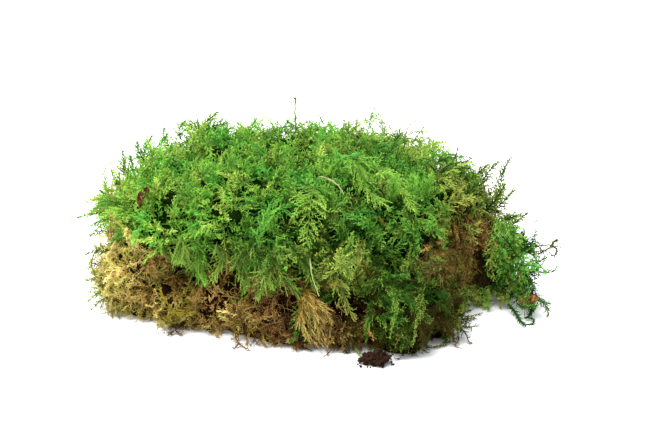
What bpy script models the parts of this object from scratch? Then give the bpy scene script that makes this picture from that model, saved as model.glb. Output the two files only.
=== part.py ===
"""Moss clump: a tangle of fern moss lifted from the ground, with its dead fronds, stray tips and soil."""

import math

import bmesh
import bpy
from mathutils import Matrix, Vector, noise

# Sizes and places below are in millimetres; +X is the right of the front view, -Y its front, +Z up.
MM = 0.001
GAP = 0.3

# The mound: its outline seen from above, as bearing in degrees from +X and reach from the middle
MOUND_MIDDLE = (-5.0, 0.0)
MOUND_OUTLINE = [
    (0, 86), (20, 86), (45, 84), (70, 78), (90, 75), (115, 79), (140, 86), (160, 89),
    (180, 90), (198, 89), (212, 84), (228, 72), (240, 65), (252, 69), (265, 73), (278, 76),
    (290, 78), (302, 78), (314, 76), (325, 74), (338, 79),
]
MOUND_HEIGHT = 63.0
BULGE_LEVEL = 20.0
UNDERCUT = 0.07
TOP_SQUARENESS = 0.62
SIDE_SQUARENESS = 0.7
# How the mound's side curls under: the share of its sphere above the base, and how far past upright it leans
MOUND_UPPER_SHARE = 0.9
MOUND_LEAN = 0.42
# Humps and ripples push outwards from here, mostly upwards, and fade out near the ground
PUSH_MIDDLE_HEIGHT = 15.0
PUSH_WEIGHTS = (0.7, 0.8, 1.6)
FADE_HEIGHT = 8.0
# Rounded humps on it: x, y, z of the middle, reach and rise
HUMPS = [
    (-56, -20, 52, 16, 4.0),
    (-28, -42, 52, 17, 5.5),
    (8, -50, 46, 15, 6.0),
    (-8, -16, 62, 18, 2.0),
    (28, -34, 50, 16, 3.5),
    (-44, 24, 60, 20, 4.5),
    (4, 38, 62, 22, 3.5),
    (50, -16, 48, 15, 0.5),
    (42, 28, 54, 16, 0.5),
    (68, 12, 42, 14, 2.0),
    (-20, 64, 44, 18, 4.5),
    (36, 64, 36, 16, 3.0),
    (-62, 48, 44, 16, 5.0),
]
RIPPLE_WAVELENGTH = 17.0
RIPPLE_HEIGHT = 2.2

# The brown thatch: bearing, height of its top where it meets the mound's side, and reach against the mound's
THATCH_MIDDLE_HEIGHT = 24.0
THATCH_RIPPLE_WAVELENGTH = 13.0
THATCH_RIPPLE_HEIGHT = 2.5
THATCH_OVERCUT = 3.0
THATCH_UPPER_SHARE = 0.84
THATCH_EDGE = [
    (0, 20, 1.2), (25, 12, 1.2), (50, 9, 1.2), (75, 14, 1.2), (100, 16, 1.2), (125, 11, 1.2),
    (150, 18, 1.2), (170, 34, 1.2), (190, 39, 1.2), (207, 36, 1.2), (222, 26, 1.2), (236, 17, 1.2),
    (250, 16, 1.2), (264, 22, 1.2), (277, 23, 1.2), (289, 16, 0.84), (304, 16, 0.8), (320, 24, 0.84),
    (335, 32, 1.2), (348, 28, 1.2),
]

# A wad's bumps are this many to its radius
WAD_BUMPS = 1.7
# A frond's pad is widest near its root: below 1 moves the widest place that way
BLADE_FULLNESS = 0.55


def clear_scene():
    for obj in list(bpy.data.objects):
        bpy.data.objects.remove(obj, do_unlink=True)


def new_collection(name):
    group = bpy.data.collections.new(name)
    bpy.context.scene.collection.children.link(group)
    return group


def new_material(name, colour, roughness=0.8):
    material = bpy.data.materials.new(name)
    material.use_nodes = True
    shader = material.node_tree.nodes["Principled BSDF"]
    shader.inputs["Base Color"].default_value = (*colour, 1.0)
    shader.inputs["Roughness"].default_value = roughness
    shader.inputs["Metallic"].default_value = 0.0
    material.diffuse_color = (*colour, 1.0)
    return material


def around(table, bearing, column=1):
    """A table's value at a bearing, eased between its rows all the way round."""
    rows = [row[0] for row in table]
    bearing = bearing % 360.0
    above = next((i for i, at in enumerate(rows) if at > bearing), len(rows))
    low = table[above - 1]
    high = table[above % len(table)]
    start = low[0]
    span = (high[0] - start) % 360.0
    share = ((bearing - start) % 360.0) / span
    ease = share * share * (3.0 - 2.0 * share)
    return low[column] + (high[column] - low[column]) * ease


def smooth_route(points, steps):
    """Points along a smooth curve through the given ones."""
    ends = [points[0], *points, points[-1]]
    route = []
    for i in range(len(points) - 1):
        a, b, c, d = (Vector(p) for p in ends[i:i + 4])
        for step in range(steps):
            t = step / steps
            bend = (2 * b + (c - a) * t + (2 * a - 5 * b + 4 * c - d) * t * t
                    + (3 * b - a - 3 * c + d) * t ** 3) * 0.5
            route.append(bend)
    route.append(Vector(points[-1]))
    return route


def object_from(bm, name, group, material=None):
    """An object whose mesh is given in millimetres."""
    bmesh.ops.triangulate(bm, faces=bm.faces)
    bmesh.ops.recalc_face_normals(bm, faces=bm.faces)
    bmesh.ops.scale(bm, vec=(MM, MM, MM), verts=bm.verts)
    mesh = bpy.data.meshes.new(name)
    bm.to_mesh(mesh)
    bm.free()
    mesh.shade_smooth()
    obj = bpy.data.objects.new(name, mesh)
    group.objects.link(obj)
    if material:
        mesh.materials.append(material)
    return obj


def mound_shape():
    """The whole mound with its humps, closed by a flat base."""
    bm = bmesh.new()
    bmesh.ops.create_uvsphere(bm, u_segments=48, v_segments=20, radius=1.0)
    humps = [(Vector(row[:3]), row[3], row[4]) for row in HUMPS]
    for vert in bm.verts:
        bearing = math.degrees(math.atan2(vert.co.y, vert.co.x))
        reach = around(MOUND_OUTLINE, bearing)
        share = math.acos(max(-1.0, min(1.0, vert.co.z))) / math.pi
        heading = Vector((math.cos(math.radians(bearing)), math.sin(math.radians(bearing)), 0.0))
        middle = Vector((*MOUND_MIDDLE, 0.0))
        if share > MOUND_UPPER_SHARE + 1e-6:
            inward = (share - MOUND_UPPER_SHARE) / (1.0 - MOUND_UPPER_SHARE)
            vert.co = middle + heading * reach * (1.0 - UNDERCUT) * (1.0 - inward)
            continue
        angle = share / MOUND_UPPER_SHARE * (math.pi / 2 + MOUND_LEAN)
        if angle < math.pi / 2:
            out = math.sin(angle) ** SIDE_SQUARENESS
            height = BULGE_LEVEL + (MOUND_HEIGHT - BULGE_LEVEL) * math.cos(angle) ** TOP_SQUARENESS
        else:
            below = (angle - math.pi / 2) / MOUND_LEAN
            out = 1.0 - UNDERCUT * below * below
            height = BULGE_LEVEL * (1.0 - below)
        place = middle + heading * reach * out + Vector((0.0, 0.0, height))
        fade = min(1.0, height / FADE_HEIGHT)
        away = (place - Vector((*MOUND_MIDDLE, PUSH_MIDDLE_HEIGHT))) * Vector(PUSH_WEIGHTS)
        away.normalize()
        rise = 0.0
        for at, wide, lift in humps:
            rise += lift * math.exp(-(place - at).length_squared / (2 * wide * wide))
        rise += noise.noise(place / RIPPLE_WAVELENGTH) * RIPPLE_HEIGHT
        vert.co = place + away * rise * fade
    flatten_base(bm, 0.0)
    return bm


def thatch_shape():
    """The brown layer's own body: it reaches past the mound wherever the brown shows at the side."""
    bm = bmesh.new()
    bmesh.ops.create_uvsphere(bm, u_segments=40, v_segments=12, radius=1.0)
    for vert in bm.verts:
        bearing = math.degrees(math.atan2(vert.co.y, vert.co.x))
        heading = Vector((math.cos(math.radians(bearing)), math.sin(math.radians(bearing)), 0.0))
        reach = around(MOUND_OUTLINE, bearing) * around(THATCH_EDGE, bearing, 2)
        share = math.acos(max(-1.0, min(1.0, vert.co.z))) / math.pi
        middle = Vector((*MOUND_MIDDLE, 0.0))
        if share > THATCH_UPPER_SHARE + 1e-6:
            inward = (share - THATCH_UPPER_SHARE) / (1.0 - THATCH_UPPER_SHARE)
            vert.co = middle + heading * reach * (1.0 - inward) - Vector((0.0, 0.0, THATCH_OVERCUT))
            continue
        # The first four fifths of the body's side run out to its edge, and the last fifth runs down it
        out = min(1.0, 1.25 * share / THATCH_UPPER_SHARE)
        down = max(0.0, share / THATCH_UPPER_SHARE - 0.8) / 0.2
        edge = around(THATCH_EDGE, bearing)
        height = THATCH_MIDDLE_HEIGHT + (edge - THATCH_MIDDLE_HEIGHT) * min(1.0, out * 1.2) ** 2
        height = height * (1.0 - down) - THATCH_OVERCUT * down
        place = middle + heading * reach * out + Vector((0.0, 0.0, height))
        uneven = noise.noise(place / THATCH_RIPPLE_WAVELENGTH) * THATCH_RIPPLE_HEIGHT
        vert.co = place + Vector((0.0, 0.0, uneven * (1.0 - down)))
    flatten_base(bm, -THATCH_OVERCUT)
    return bm


def flatten_base(bm, level):
    """Joins the faces of a flat underside into one."""
    bmesh.ops.remove_doubles(bm, verts=bm.verts, dist=0.05)
    base = [face for face in bm.faces if all(abs(vert.co.z - level) < 0.001 for vert in face.verts)]
    bmesh.ops.dissolve_faces(bm, faces=base, use_verts=True)


def grown(bm, by):
    """Moves a shape's surface outwards, so that what it cuts keeps clear of it."""
    bmesh.ops.triangulate(bm, faces=bm.faces)
    bmesh.ops.recalc_face_normals(bm, faces=bm.faces)
    bm.normal_update()
    moves = [(vert, vert.normal.copy()) for vert in bm.verts]
    for vert, normal in moves:
        vert.co += normal * by
    return bm


def lump_shape(middle, size, turn, ripple, seed):
    """A rounded wad with an uneven surface, flat wherever it meets the ground."""
    bm = bmesh.new()
    bmesh.ops.create_uvsphere(bm, u_segments=12, v_segments=8, radius=1.0)
    spin = Matrix.Rotation(math.radians(turn), 3, "Z")
    for vert in bm.verts:
        swell = 1.0 + ripple * noise.noise(vert.co * WAD_BUMPS + Vector((seed, seed * 0.7, -seed)))
        local = Vector((vert.co.x * size[0], vert.co.y * size[1], vert.co.z * size[2])) * 0.5 * swell
        place = Vector(middle) + spin @ local
        place.z = max(place.z, 0.0)
        vert.co = place
    bmesh.ops.remove_doubles(bm, verts=bm.verts, dist=0.05)
    bmesh.ops.dissolve_degenerate(bm, edges=bm.edges, dist=0.02)
    return bm


def blade_shape(points, width, thickness, flat_side):
    """A single frond as a thin tapering pad that follows a bent route."""
    bm = bmesh.new()
    bmesh.ops.create_uvsphere(bm, u_segments=6, v_segments=10, radius=1.0)
    route = smooth_route(points, 8)
    for vert in bm.verts:
        share = (1.0 - vert.co.z) * 0.5
        spot = share * (len(route) - 1)
        index = min(int(spot), len(route) - 2)
        along = (route[index + 1] - route[index]).normalized()
        centre = route[index].lerp(route[index + 1], spot - index)
        across = along.cross(Vector(flat_side)).normalized()
        above = across.cross(along).normalized()
        swell = (math.sin(math.pi * share ** BLADE_FULLNESS) + 0.02) if 0.0 < share < 1.0 else 0.0
        ring = Vector((vert.co.x, vert.co.y, 0.0))
        if ring.length > 1e-6:
            ring.normalize()
        vert.co = centre + (across * ring.x * width + above * ring.y * thickness) * 0.5 * swell
    return bm


def tube_mesh(points, thickness, taper):
    """A round stem along a smooth route, with its ends closed."""
    data = bpy.data.curves.new("stem_route", "CURVE")
    data.dimensions = "3D"
    data.bevel_depth = thickness * MM * 0.5
    data.bevel_resolution = 1
    data.use_fill_caps = True
    route = smooth_route(points, 3)
    line = data.splines.new("POLY")
    line.points.add(len(route) - 1)
    for i, place in enumerate(route):
        line.points[i].co = (*(place * MM), 1.0)
        line.points[i].radius = 1.0 + (taper - 1.0) * i / (len(route) - 1)
    curve = bpy.data.objects.new("stem_route", data)
    bpy.context.scene.collection.objects.link(curve)
    bpy.context.view_layer.update()
    evaluated = curve.evaluated_get(bpy.context.evaluated_depsgraph_get())
    mesh = bpy.data.meshes.new_from_object(evaluated)
    bpy.data.objects.remove(curve, do_unlink=True)
    bm = bmesh.new()
    bm.from_mesh(mesh)
    bpy.data.meshes.remove(mesh)
    bmesh.ops.scale(bm, vec=(1.0 / MM, 1.0 / MM, 1.0 / MM), verts=bm.verts)
    bmesh.ops.remove_doubles(bm, verts=bm.verts, dist=0.01)
    return bm


def boolean(obj, other, operation):
    step = obj.modifiers.new(operation.lower(), "BOOLEAN")
    step.operation = operation
    step.object = other
    step.solver = "EXACT"


def as_cutter(bm, name):
    cutter = object_from(bm, name, cutters)
    cutter.hide_render = True
    cutter.display_type = "WIRE"
    return cutter


def bounds(obj):
    corners = [Vector(corner) for corner in obj.bound_box]
    low = Vector(min(corner[i] for corner in corners) for i in range(3))
    high = Vector(max(corner[i] for corner in corners) for i in range(3))
    return low, high


def near(one, other):
    low_a, high_a = bounds(one)
    low_b, high_b = bounds(other)
    return all(low_a[i] < high_b[i] and low_b[i] < high_a[i] for i in range(3))


def add_piece(name, shapes, material):
    """A loose piece: its shapes joined, then cut clear of the mound and of every piece placed before it."""
    piece = object_from(shapes[0](), name, parts, material)
    for i, shape in enumerate(shapes[1:]):
        boolean(piece, as_cutter(shape(), f"{name}_arm_{i}"), "UNION")
    for cutter in clearances:
        if near(piece, cutter):
            boolean(piece, cutter, "DIFFERENCE")
    for i, shape in enumerate(shapes):
        clearances.append(as_cutter(grown(shape(), GAP), f"{name}_clearance_{i}"))
    return piece


def add_lump(name, material, middle, size, turn, seed, ripple=0.16):
    return add_piece(name, [lambda: lump_shape(middle, size, turn, ripple, seed)], material)


def add_blade(name, material, flat_side, width, thickness, points):
    return add_piece(name, [lambda: blade_shape(points, width, thickness, flat_side)], material)


def add_stem(name, material, thickness, routes, taper=0.6):
    tubes = [lambda route=route: tube_mesh(route, thickness, taper) for route in routes]
    return add_piece(name, tubes, material)


def centre_on_base():
    """Moves everything so that the origin is the middle of the clump's box, on the ground."""
    bpy.context.view_layer.update()
    depsgraph = bpy.context.evaluated_depsgraph_get()
    corners = []
    for obj in parts.objects:
        evaluated = obj.evaluated_get(depsgraph)
        corners += [evaluated.matrix_world @ Vector(corner) for corner in evaluated.bound_box]
    low = [min(corner[i] for corner in corners) for i in range(3)]
    high = [max(corner[i] for corner in corners) for i in range(3)]
    shift = Vector((-(low[0] + high[0]) / 2, -(low[1] + high[1]) / 2, -low[2]))
    for obj in [*parts.objects, *cutters.objects]:
        obj.location += shift
    bpy.context.view_layer.update()


clear_scene()
parts = new_collection("moss_clump")
cutters = new_collection("cutters")
clearances = []

green = new_material("green_moss", (0.09, 0.22, 0.05))
dark_green = new_material("dark_moss", (0.03, 0.09, 0.03))
brown = new_material("brown_moss", (0.24, 0.14, 0.04))
stem = new_material("stem", (0.16, 0.10, 0.05), 0.7)
root = new_material("rootlet", (0.12, 0.05, 0.02), 0.8)
leaf = new_material("dry_leaf", (0.17, 0.08, 0.03), 0.7)
bark = new_material("bark", (0.35, 0.15, 0.05), 0.85)
soil = new_material("soil", (0.04, 0.015, 0.01), 0.95)

# The green cushion and the brown thatch are one mound, parted where the green ends
moss_cushion = object_from(mound_shape(), "moss_cushion", parts, green)
boolean(moss_cushion, as_cutter(grown(thatch_shape(), GAP), "thatch_clearance"), "DIFFERENCE")
thatch_mat = object_from(mound_shape(), "thatch_mat", parts, brown)
boolean(thatch_mat, as_cutter(thatch_shape(), "thatch_body"), "INTERSECT")
clearances.append(as_cutter(grown(mound_shape(), GAP), "mound_clearance"))

# Single fronds and stems that lie on the mound's face, placed first so that the tufts make room for them
FRONT = (0.0, -1.0, 0.25)
add_blade("hanging_frond", green, FRONT, 8.0, 2.6,
          [(8.0, -75.5, 33.5), (10.5, -78.5, 29), (12.5, -79.5, 23), (17, -81.5, 15)])
add_blade("folded_frond", brown, FRONT, 9.0, 3.2,
          [(-4.0, -75.0, 22.5), (-1.5, -79.0, 18), (0.5, -79.5, 11), (5.5, -78.0, 2.6)])
add_blade("leaf_scrap", leaf, (-0.5, -0.5, 0.7), 4.2, 1.2,
          [(-68.0, -35.5, 57.5), (-70.8, -38.0, 54.5), (-73.4, -40.6, 50.5)])
add_stem("pale_stem", stem, 0.8,
         [[(-1.6, -71, 38), (-1.2, -77.0, 35.5), (0.0, -77.8, 30.5), (2.0, -78.4, 24.8)]])
add_stem("lying_stem", stem, 0.9,
         [[(1.0, -44, 62.0), (2.6, -49, 65.6), (6.0, -53.4, 64.9), (9.0, -55.6, 63.6), (12.0, -57.2, 62.2)]])

# Tufts and wads against the mound's side: middle, size and turn about the vertical
add_lump("front_green_lobe", green, (31, -70, 12), (36, 28, 30), -8, seed=1.0)
add_lump("olive_lobe", dark_green, (53, -58, 11), (20, 26, 31), 35, seed=2.0)
add_lump("right_tuft", dark_green, (87, -20, 15.5), (29, 44, 37), 14, seed=3.0, ripple=0.3)
add_lump("ochre_wad", brown, (-80, -30, 15), (26, 42, 38), 28, seed=4.0)
add_lump("yellow_wad", brown, (-58, -50, 7.5), (15, 14, 14), -20, seed=5.0)
add_lump("pale_wad", brown, (-45, -53.5, 14.5), (12, 12, 20), 0, seed=6.0)
add_lump("front_brown_wad", brown, (-22, -65.5, 9), (36, 16, 19), -22, seed=7.0, ripple=0.3)
add_lump("centre_brown_wad", brown, (12.5, -72.5, 8), (17, 14, 15), 0, seed=8.0)
add_lump("root_patch", root, (-7.0, -74.0, 2.6), (13, 8, 6.5), 0, seed=9.0)

# Stray fronds and stems on the skyline and at the sides
add_blade("left_stray_frond", green, (0.0, -0.5, 0.9), 7.0, 2.0,
          [(-86, 0, 37), (-94, 0, 36), (-101, 0, 33.6), (-110.1, 0, 30)])
add_blade("left_arched_frond", green, (-1.0, -0.6, 0.0), 4.5, 2.0,
          [(-83, -26, 25), (-91.5, -29, 27.3), (-95.5, -30, 23), (-94.6, -30, 16), (-91.0, -31, 10.5)])
add_blade("upright_frond_left", green, (-0.5, -0.8, 0.0), 5.5, 1.8,
          [(-84, 17, 44), (-86.4, 18, 51), (-87.1, 18, 58.7)])
add_blade("upright_frond_right", green, FRONT, 5.5, 1.8, [(-80, 31, 46), (-78.6, 32, 54), (-75, 32, 61)])
add_blade("peak_frond", green, FRONT, 8.0, 1.8, [(-58, 49, 52), (-53, 50, 61.5), (-45.3, 50, 68.3)])
add_blade("corner_frond", green, FRONT, 7.5, 1.8,
          [(79, 0, 38), (81.8, 0, 47.7), (82.7, 0, 54.1), (86.4, 0, 60.5)])
add_stem("spore_stalk", stem, 0.9, [[(-9.3, 49, 60), (-9.7, 50, 68.8), (-9.2, 50, 75)]], taper=1.3)
add_stem("bare_stem_near", stem, 0.8,
         [[(39.5, 19, 56), (41.1, 20, 66.4), (44.9, 20, 71.4), (47.4, 20, 71.1)]])
add_stem("bare_stem_far", stem, 0.8, [[(41.5, 23, 56), (47.4, 24, 65.1), (50.5, 24, 68.7)]])
add_stem("dark_twig", stem, 1.1,
         [[(52, 0, 48), (58.0, -1, 56.3), (64.5, -2, 58.0), (69.2, -2, 60.4)],
          [(59.5, -1.2, 56.9), (61.6, 0.2, 60.4), (62.6, 1, 63.9)],
          [(61.5, -1.5, 57.2), (64.9, -3.0, 55.9), (68.5, -4.0, 56.2)]])

# The far right: the tuft's own loose ends
add_stem("knotted_stem", stem, 1.3,
         [[(88, -25, 26.5), (99.3, -26, 28.2), (103.0, -26, 27.8), (106.1, -26, 27)],
          [(101.0, -26, 28.0), (104.3, -25.4, 25.9), (102.8, -26.6, 23.2), (100.4, -27.4, 25.3)]], taper=0.9)
add_lump("bark_bit", bark, (90.5, -41.5, 9.5), (8.5, 4.5, 5), 10, seed=10.0)
add_stem("ground_curl", green, 1.1,
         [[(84.0, -36, 6.0), (90.7, -40.2, 3.0), (94.8, -43.7, 0.9), (93.2, -50.8, 0.8), (89.7, -51.9, 0.8),
           (88.2, -47.2, 0.8)]], taper=0.7)

# Bits of root, twig and soil on the ground
add_lump("soil_crumb", soil, (24.5, -89.2, 2.6), (12.5, 8.5, 5.4), 5, seed=11.0, ripple=0.5)
add_stem("crumb_stem", green, 1.1,
         [[(14.8, -66, 3.4), (16.6, -76.4, 2.0), (18.2, -84, 1.6), (21.4, -88, 2.2)]])
add_stem("root_twig", root, 1.0, [[(8.4, -70, 3.4), (6.7, -77.9, 1.2), (3.5, -84.1, 0.7)]])
add_stem("loose_twig", root, 1.1,
         [[(-32.4, -66, 2.0), (-30.3, -71.0, 1.0), (-25.5, -77.5, 0.7)],
          [(-30.6, -70.4, 1.1), (-32.6, -75.4, 0.7)]])
add_stem("root_tuft", root, 1.2,
         [[(-55.1, -46.0, 2.4), (-58.3, -57.6, 1.2), (-65.6, -58.5, 0.7)],
          [(-57.9, -57.0, 1.3), (-54.7, -60.9, 0.7)],
          [(-58.5, -57.6, 1.2), (-60.5, -61.4, 0.7)]])
add_stem("hooked_rootlet", root, 0.9,
         [[(58.8, -62.0, 2.6), (58.9, -68.0, 1.4), (57.2, -72.4, 0.7), (60.0, -74.8, 0.7)]])

centre_on_base()
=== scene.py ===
# Moss clump: fern moss lifted from the ground, feathery green fronds over a matted base of dead ones
import math

import bmesh
import bpy
import numpy as np
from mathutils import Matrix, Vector, noise
from mathutils.bvhtree import BVHTree
from mathutils.kdtree import KDTree


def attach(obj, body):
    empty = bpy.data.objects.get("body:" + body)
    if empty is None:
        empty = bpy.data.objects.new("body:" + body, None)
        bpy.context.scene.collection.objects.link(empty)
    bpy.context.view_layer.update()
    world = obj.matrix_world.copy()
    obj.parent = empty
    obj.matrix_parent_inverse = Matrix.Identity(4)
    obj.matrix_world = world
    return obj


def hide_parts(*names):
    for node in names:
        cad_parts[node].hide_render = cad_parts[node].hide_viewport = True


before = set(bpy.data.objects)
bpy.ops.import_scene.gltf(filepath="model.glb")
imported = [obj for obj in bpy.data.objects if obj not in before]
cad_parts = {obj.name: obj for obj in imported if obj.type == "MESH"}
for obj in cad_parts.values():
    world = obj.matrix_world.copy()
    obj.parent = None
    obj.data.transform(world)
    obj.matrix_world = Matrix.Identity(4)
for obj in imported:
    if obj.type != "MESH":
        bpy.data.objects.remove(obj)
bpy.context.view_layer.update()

perMetre = 1000  # every length in this file is in millimetres, and meshes are made in metres
ground = 0.25    # nothing grows lower than this
fullTurn = 6.28


# Camera: low and in front, as the clump was photographed
cameraSetup = {
    "lookAt": (6.25, 15.9, 30),
    "above": 18,  # degrees over the horizon
    "distance": 690.6,
    "lens": 85,
}


def linked(name, data):
    obj = bpy.data.objects.new(name, data)
    bpy.context.scene.collection.objects.link(obj)
    return obj


def cameraLine(setup):
    # which way it looks, and from where
    tilt = math.radians(setup["above"])
    line = Vector((0, math.cos(tilt), -math.sin(tilt)))
    return line, Vector(setup["lookAt"]) - line * setup["distance"]


def setCamera(setup):
    line, eye = cameraLine(setup)
    data = bpy.data.cameras.new("camera")
    data.lens = setup["lens"]
    data.sensor_width = 36
    data.clip_start = 0.01
    data.clip_end = 50
    camera = linked("camera", data)
    camera.location = eye / perMetre
    camera.rotation_euler = line.to_track_quat("-Z", "Y").to_euler()
    bpy.context.scene.camera = camera


# Light: a white tent all round under one broad soft light high over the front left
lightSetup = {
    "tent": ("#f8fbff", 1.3),
    "overhead": {"from": (-0.46, -0.12, 1), "spread": 62, "strength": 9, "colour": "#fffdf8"},
}


def linear(code):
    # sRGB hex to the linear colour that a shader takes
    parts = [int(code[i:i + 2], 16) / 255 for i in (1, 3, 5)]
    return (*[c / 12.92 if c <= 0.04045 else ((c + 0.055) / 1.055) ** 2.4 for c in parts], 1)


def setLights(setup):
    world = bpy.data.worlds.new("white_tent")
    world.use_nodes = True
    back = world.node_tree.nodes["Background"]
    back.inputs["Color"].default_value = linear(setup["tent"][0])
    back.inputs["Strength"].default_value = setup["tent"][1]
    bpy.context.scene.world = world
    look = setup["overhead"]
    data = bpy.data.lights.new("overhead", "SUN")
    data.energy = look["strength"]
    data.angle = math.radians(look["spread"])
    data.color = linear(look["colour"])[:3]
    light = linked("overhead", data)
    light.rotation_euler = Vector(look["from"]).to_track_quat("Z", "Y").to_euler()
    light.location = Vector(look["from"])


setCamera(cameraSetup)
setLights(lightSetup)
bpy.context.scene.view_settings.view_transform = "Standard"
print("camera and lights are set")


# Materials
def addNode(tree, kind, settings=None, links=None):
    # settings name a property or an input; links give an input its (node, output)
    node = tree.nodes.new("ShaderNode" + kind)
    for key, value in (settings or {}).items():
        if key == "stops":
            stops = node.color_ramp.elements
            while len(stops) < len(value):
                stops.new(0.5)
            for stop, (place, colour) in zip(stops, value):
                stop.position = place
                stop.color = linear(colour) if isinstance(colour, str) else (colour, colour, colour, 1)
        elif isinstance(key, str) and hasattr(node, key):
            setattr(node, key, value)
        else:
            node.inputs[key].default_value = value
    for key, (source, output) in (links or {}).items():
        tree.links.new(source.outputs[output], node.inputs[key])
    return node


def newMaterial(name, layNodes, *details):
    material = bpy.data.materials.new(name)
    material.use_nodes = True
    material.node_tree.nodes.clear()
    shader = layNodes(material.node_tree, *details)
    addNode(material.node_tree, "OutputMaterial", links={"Surface": (shader, 0)})
    return material


# Living fern moss: thin wet-looking leaves, light through them; tone runs from blue-green to straw along
# the map's first axis, and from the shaded foot of a leaf to its bright tip along the second
livingMoss = {
    "tips": [(0, "#42a048"), (0.14, "#58b84a"), (0.30, "#74c248"), (0.46, "#98cc4c"), (0.62, "#c0d862"),
             (0.76, "#b8b650"), (0.88, "#928038"), (1, "#8a5a2c")],
    "feet": [(0, "#082806"), (0.2, "#103a08"), (0.45, "#1c4405"), (0.68, "#2c3f06"), (0.85, "#362f07"),
             (1, "#2c1605")],
    "roughness": 0.55,
    "sheen": 0.12,  # specular level: the leaves are thin and barely glossy
    "glow": 0.36,   # share of the light that comes through a leaf
}
# Dead fern moss: dry, matt, ochre to umber
deadMoss = {
    "tips": [(0, "#6b4426"), (0.2, "#97683a"), (0.4, "#bc9450"), (0.58, "#d0b268"), (0.74, "#e2d486"),
             (0.87, "#c8c65a"), (1, "#94a248")],
    "feet": [(0, "#120702"), (0.25, "#281304"), (0.5, "#4e360a"), (0.75, "#8c7c26"), (1, "#38400c")],
    "roughness": 0.76,
    "sheen": 0.12,
    "glow": 0.26,
}


# Bare stems and rootlets: wiry and slightly shiny, straw where green, dark red-brown where old
wiryStems = {
    "tips": [(0, "#40342a"), (0.2, "#86603c"), (0.4, "#a08448"), (0.6, "#b8b07a"), (0.8, "#849a5c"),
             (1, "#5a7834")],
    "feet": [(0, "#140e08"), (0.2, "#341e0e"), (0.4, "#4c3c1c"), (0.6, "#80764a"), (0.8, "#46562c"),
             (1, "#243a12")],
    "roughness": 0.55,
    "sheen": 0.14,
    "glow": 0.08,
}


def layLeaf(tree, look):
    spot = addNode(tree, "UVMap", {"uv_map": "OFBake"})
    axes = addNode(tree, "SeparateXYZ", links={0: (spot, 0)})
    tips = addNode(tree, "ValToRGB", {"stops": look["tips"]}, {0: (axes, "X")})
    feet = addNode(tree, "ValToRGB", {"stops": look["feet"]}, {0: (axes, "X")})
    stretch = addNode(tree, "Mapping", {"Scale": (70, 9, 1)}, {"Vector": (spot, 0)})
    mottle = addNode(tree, "TexNoise", {"Scale": 1, "Detail": 3, "Roughness": 0.6}, {"Vector": (stretch, 0)})
    shift = addNode(tree, "MapRange", {"From Min": 0.3, "From Max": 0.7, "To Min": -0.12, "To Max": 0.12},
                    {"Value": (mottle, 0)})
    height = addNode(tree, "Math", {"operation": "ADD"}, {0: (axes, "Y"), 1: (shift, 0)})
    # the map's height paints shade and light: low heights take the dark foot colours, high ones the bright
    # tip colours
    share = addNode(tree, "ValToRGB", {"stops": [(0.05, 0), (0.45, 0.42), (0.95, 1)]}, {0: (height, 0)})
    colour = addNode(tree, "Mix", {"data_type": "RGBA"}, {0: (share, 0), 6: (feet, 0), 7: (tips, 0)})
    gloss = addNode(tree, "MapRange",
                    {"To Min": look["roughness"] - 0.1, "To Max": look["roughness"] + 0.12},
                    {"Value": (mottle, 0)})
    cells = addNode(tree, "TexNoise", {"Scale": 4, "Detail": 1}, {"Vector": (stretch, 0)})
    bump = addNode(tree, "Bump", {"Strength": 0.25, "Distance": 0.1 / perMetre}, {"Height": (cells, 0)})
    leaf = addNode(tree, "BsdfPrincipled", {"IOR": 1.42, "Specular IOR Level": look["sheen"]},
                   {"Base Color": (colour, 2), "Roughness": (gloss, 0), "Normal": (bump, 0)})
    through = addNode(tree, "BsdfTranslucent", links={"Color": (colour, 2)})
    return addNode(tree, "MixShader", {0: look["glow"]}, {1: (leaf, 0), 2: (through, 0)})


# Matted inside: packed old stems and humus seen only between the fronds, brown low down, greener above; its
# near-black colours are also painted shade for the depth between the fronds
mattedHumusAndShade = {
    "above": [(0.3, "#030801"), (0.5, "#0a1a02"), (0.62, "#12240a"), (0.75, "#1c2406")],
    "below": [(0.3, "#0a0502"), (0.5, "#180c04"), (0.62, "#281606"), (0.75, "#3e260c")],
    "turn": (18, 40),  # height over the ground where one colour turns to the other
    "strand": 1.6,
}


def layMatted(tree, look):
    place = addNode(tree, "TexCoord")
    axes = addNode(tree, "SeparateXYZ", links={0: (place, "Object")})
    stretch = addNode(tree, "Mapping", {"Scale": (1, 1, 0.3)}, {"Vector": (place, "Object")})
    strands = addNode(tree, "TexNoise", {"Scale": perMetre / look["strand"], "Detail": 4, "Roughness": 0.7,
                                         "Distortion": 1.5}, {"Vector": (stretch, 0)})
    above = addNode(tree, "ValToRGB", {"stops": look["above"]}, {0: (strands, 0)})
    below = addNode(tree, "ValToRGB", {"stops": look["below"]}, {0: (strands, 0)})
    low, high = look["turn"]
    share = addNode(tree, "MapRange", {"From Min": low / perMetre, "From Max": high / perMetre},
                    {"Value": (axes, "Z")})
    colour = addNode(tree, "Mix", {"data_type": "RGBA"}, {0: (share, 0), 6: (below, 0), 7: (above, 0)})
    bump = addNode(tree, "Bump", {"Strength": 1, "Distance": 1 / perMetre}, {"Height": (strands, 0)})
    return addNode(tree, "BsdfPrincipled", {"Roughness": 0.95, "IOR": 1.45, "Specular IOR Level": 0.02},
                   {"Base Color": (colour, 2), "Normal": (bump, 0)})


# Rough earthy surfaces: colours, how wide and deep their grains are, and roughness
darkSoil = {
    "stops": [(0.3, "#140a05"), (0.55, "#2e1b0c"), (0.75, "#50341b")],
    "grain": 1.1,
    "depth": 0.5,
    "roughness": 0.9,
}
rustyBark = {
    "stops": [(0.3, "#2c1a0c"), (0.5, "#6a4420"), (0.7, "#a47844")],
    "grain": 1.4,
    "depth": 0.4,
    "roughness": 0.8,
}


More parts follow.
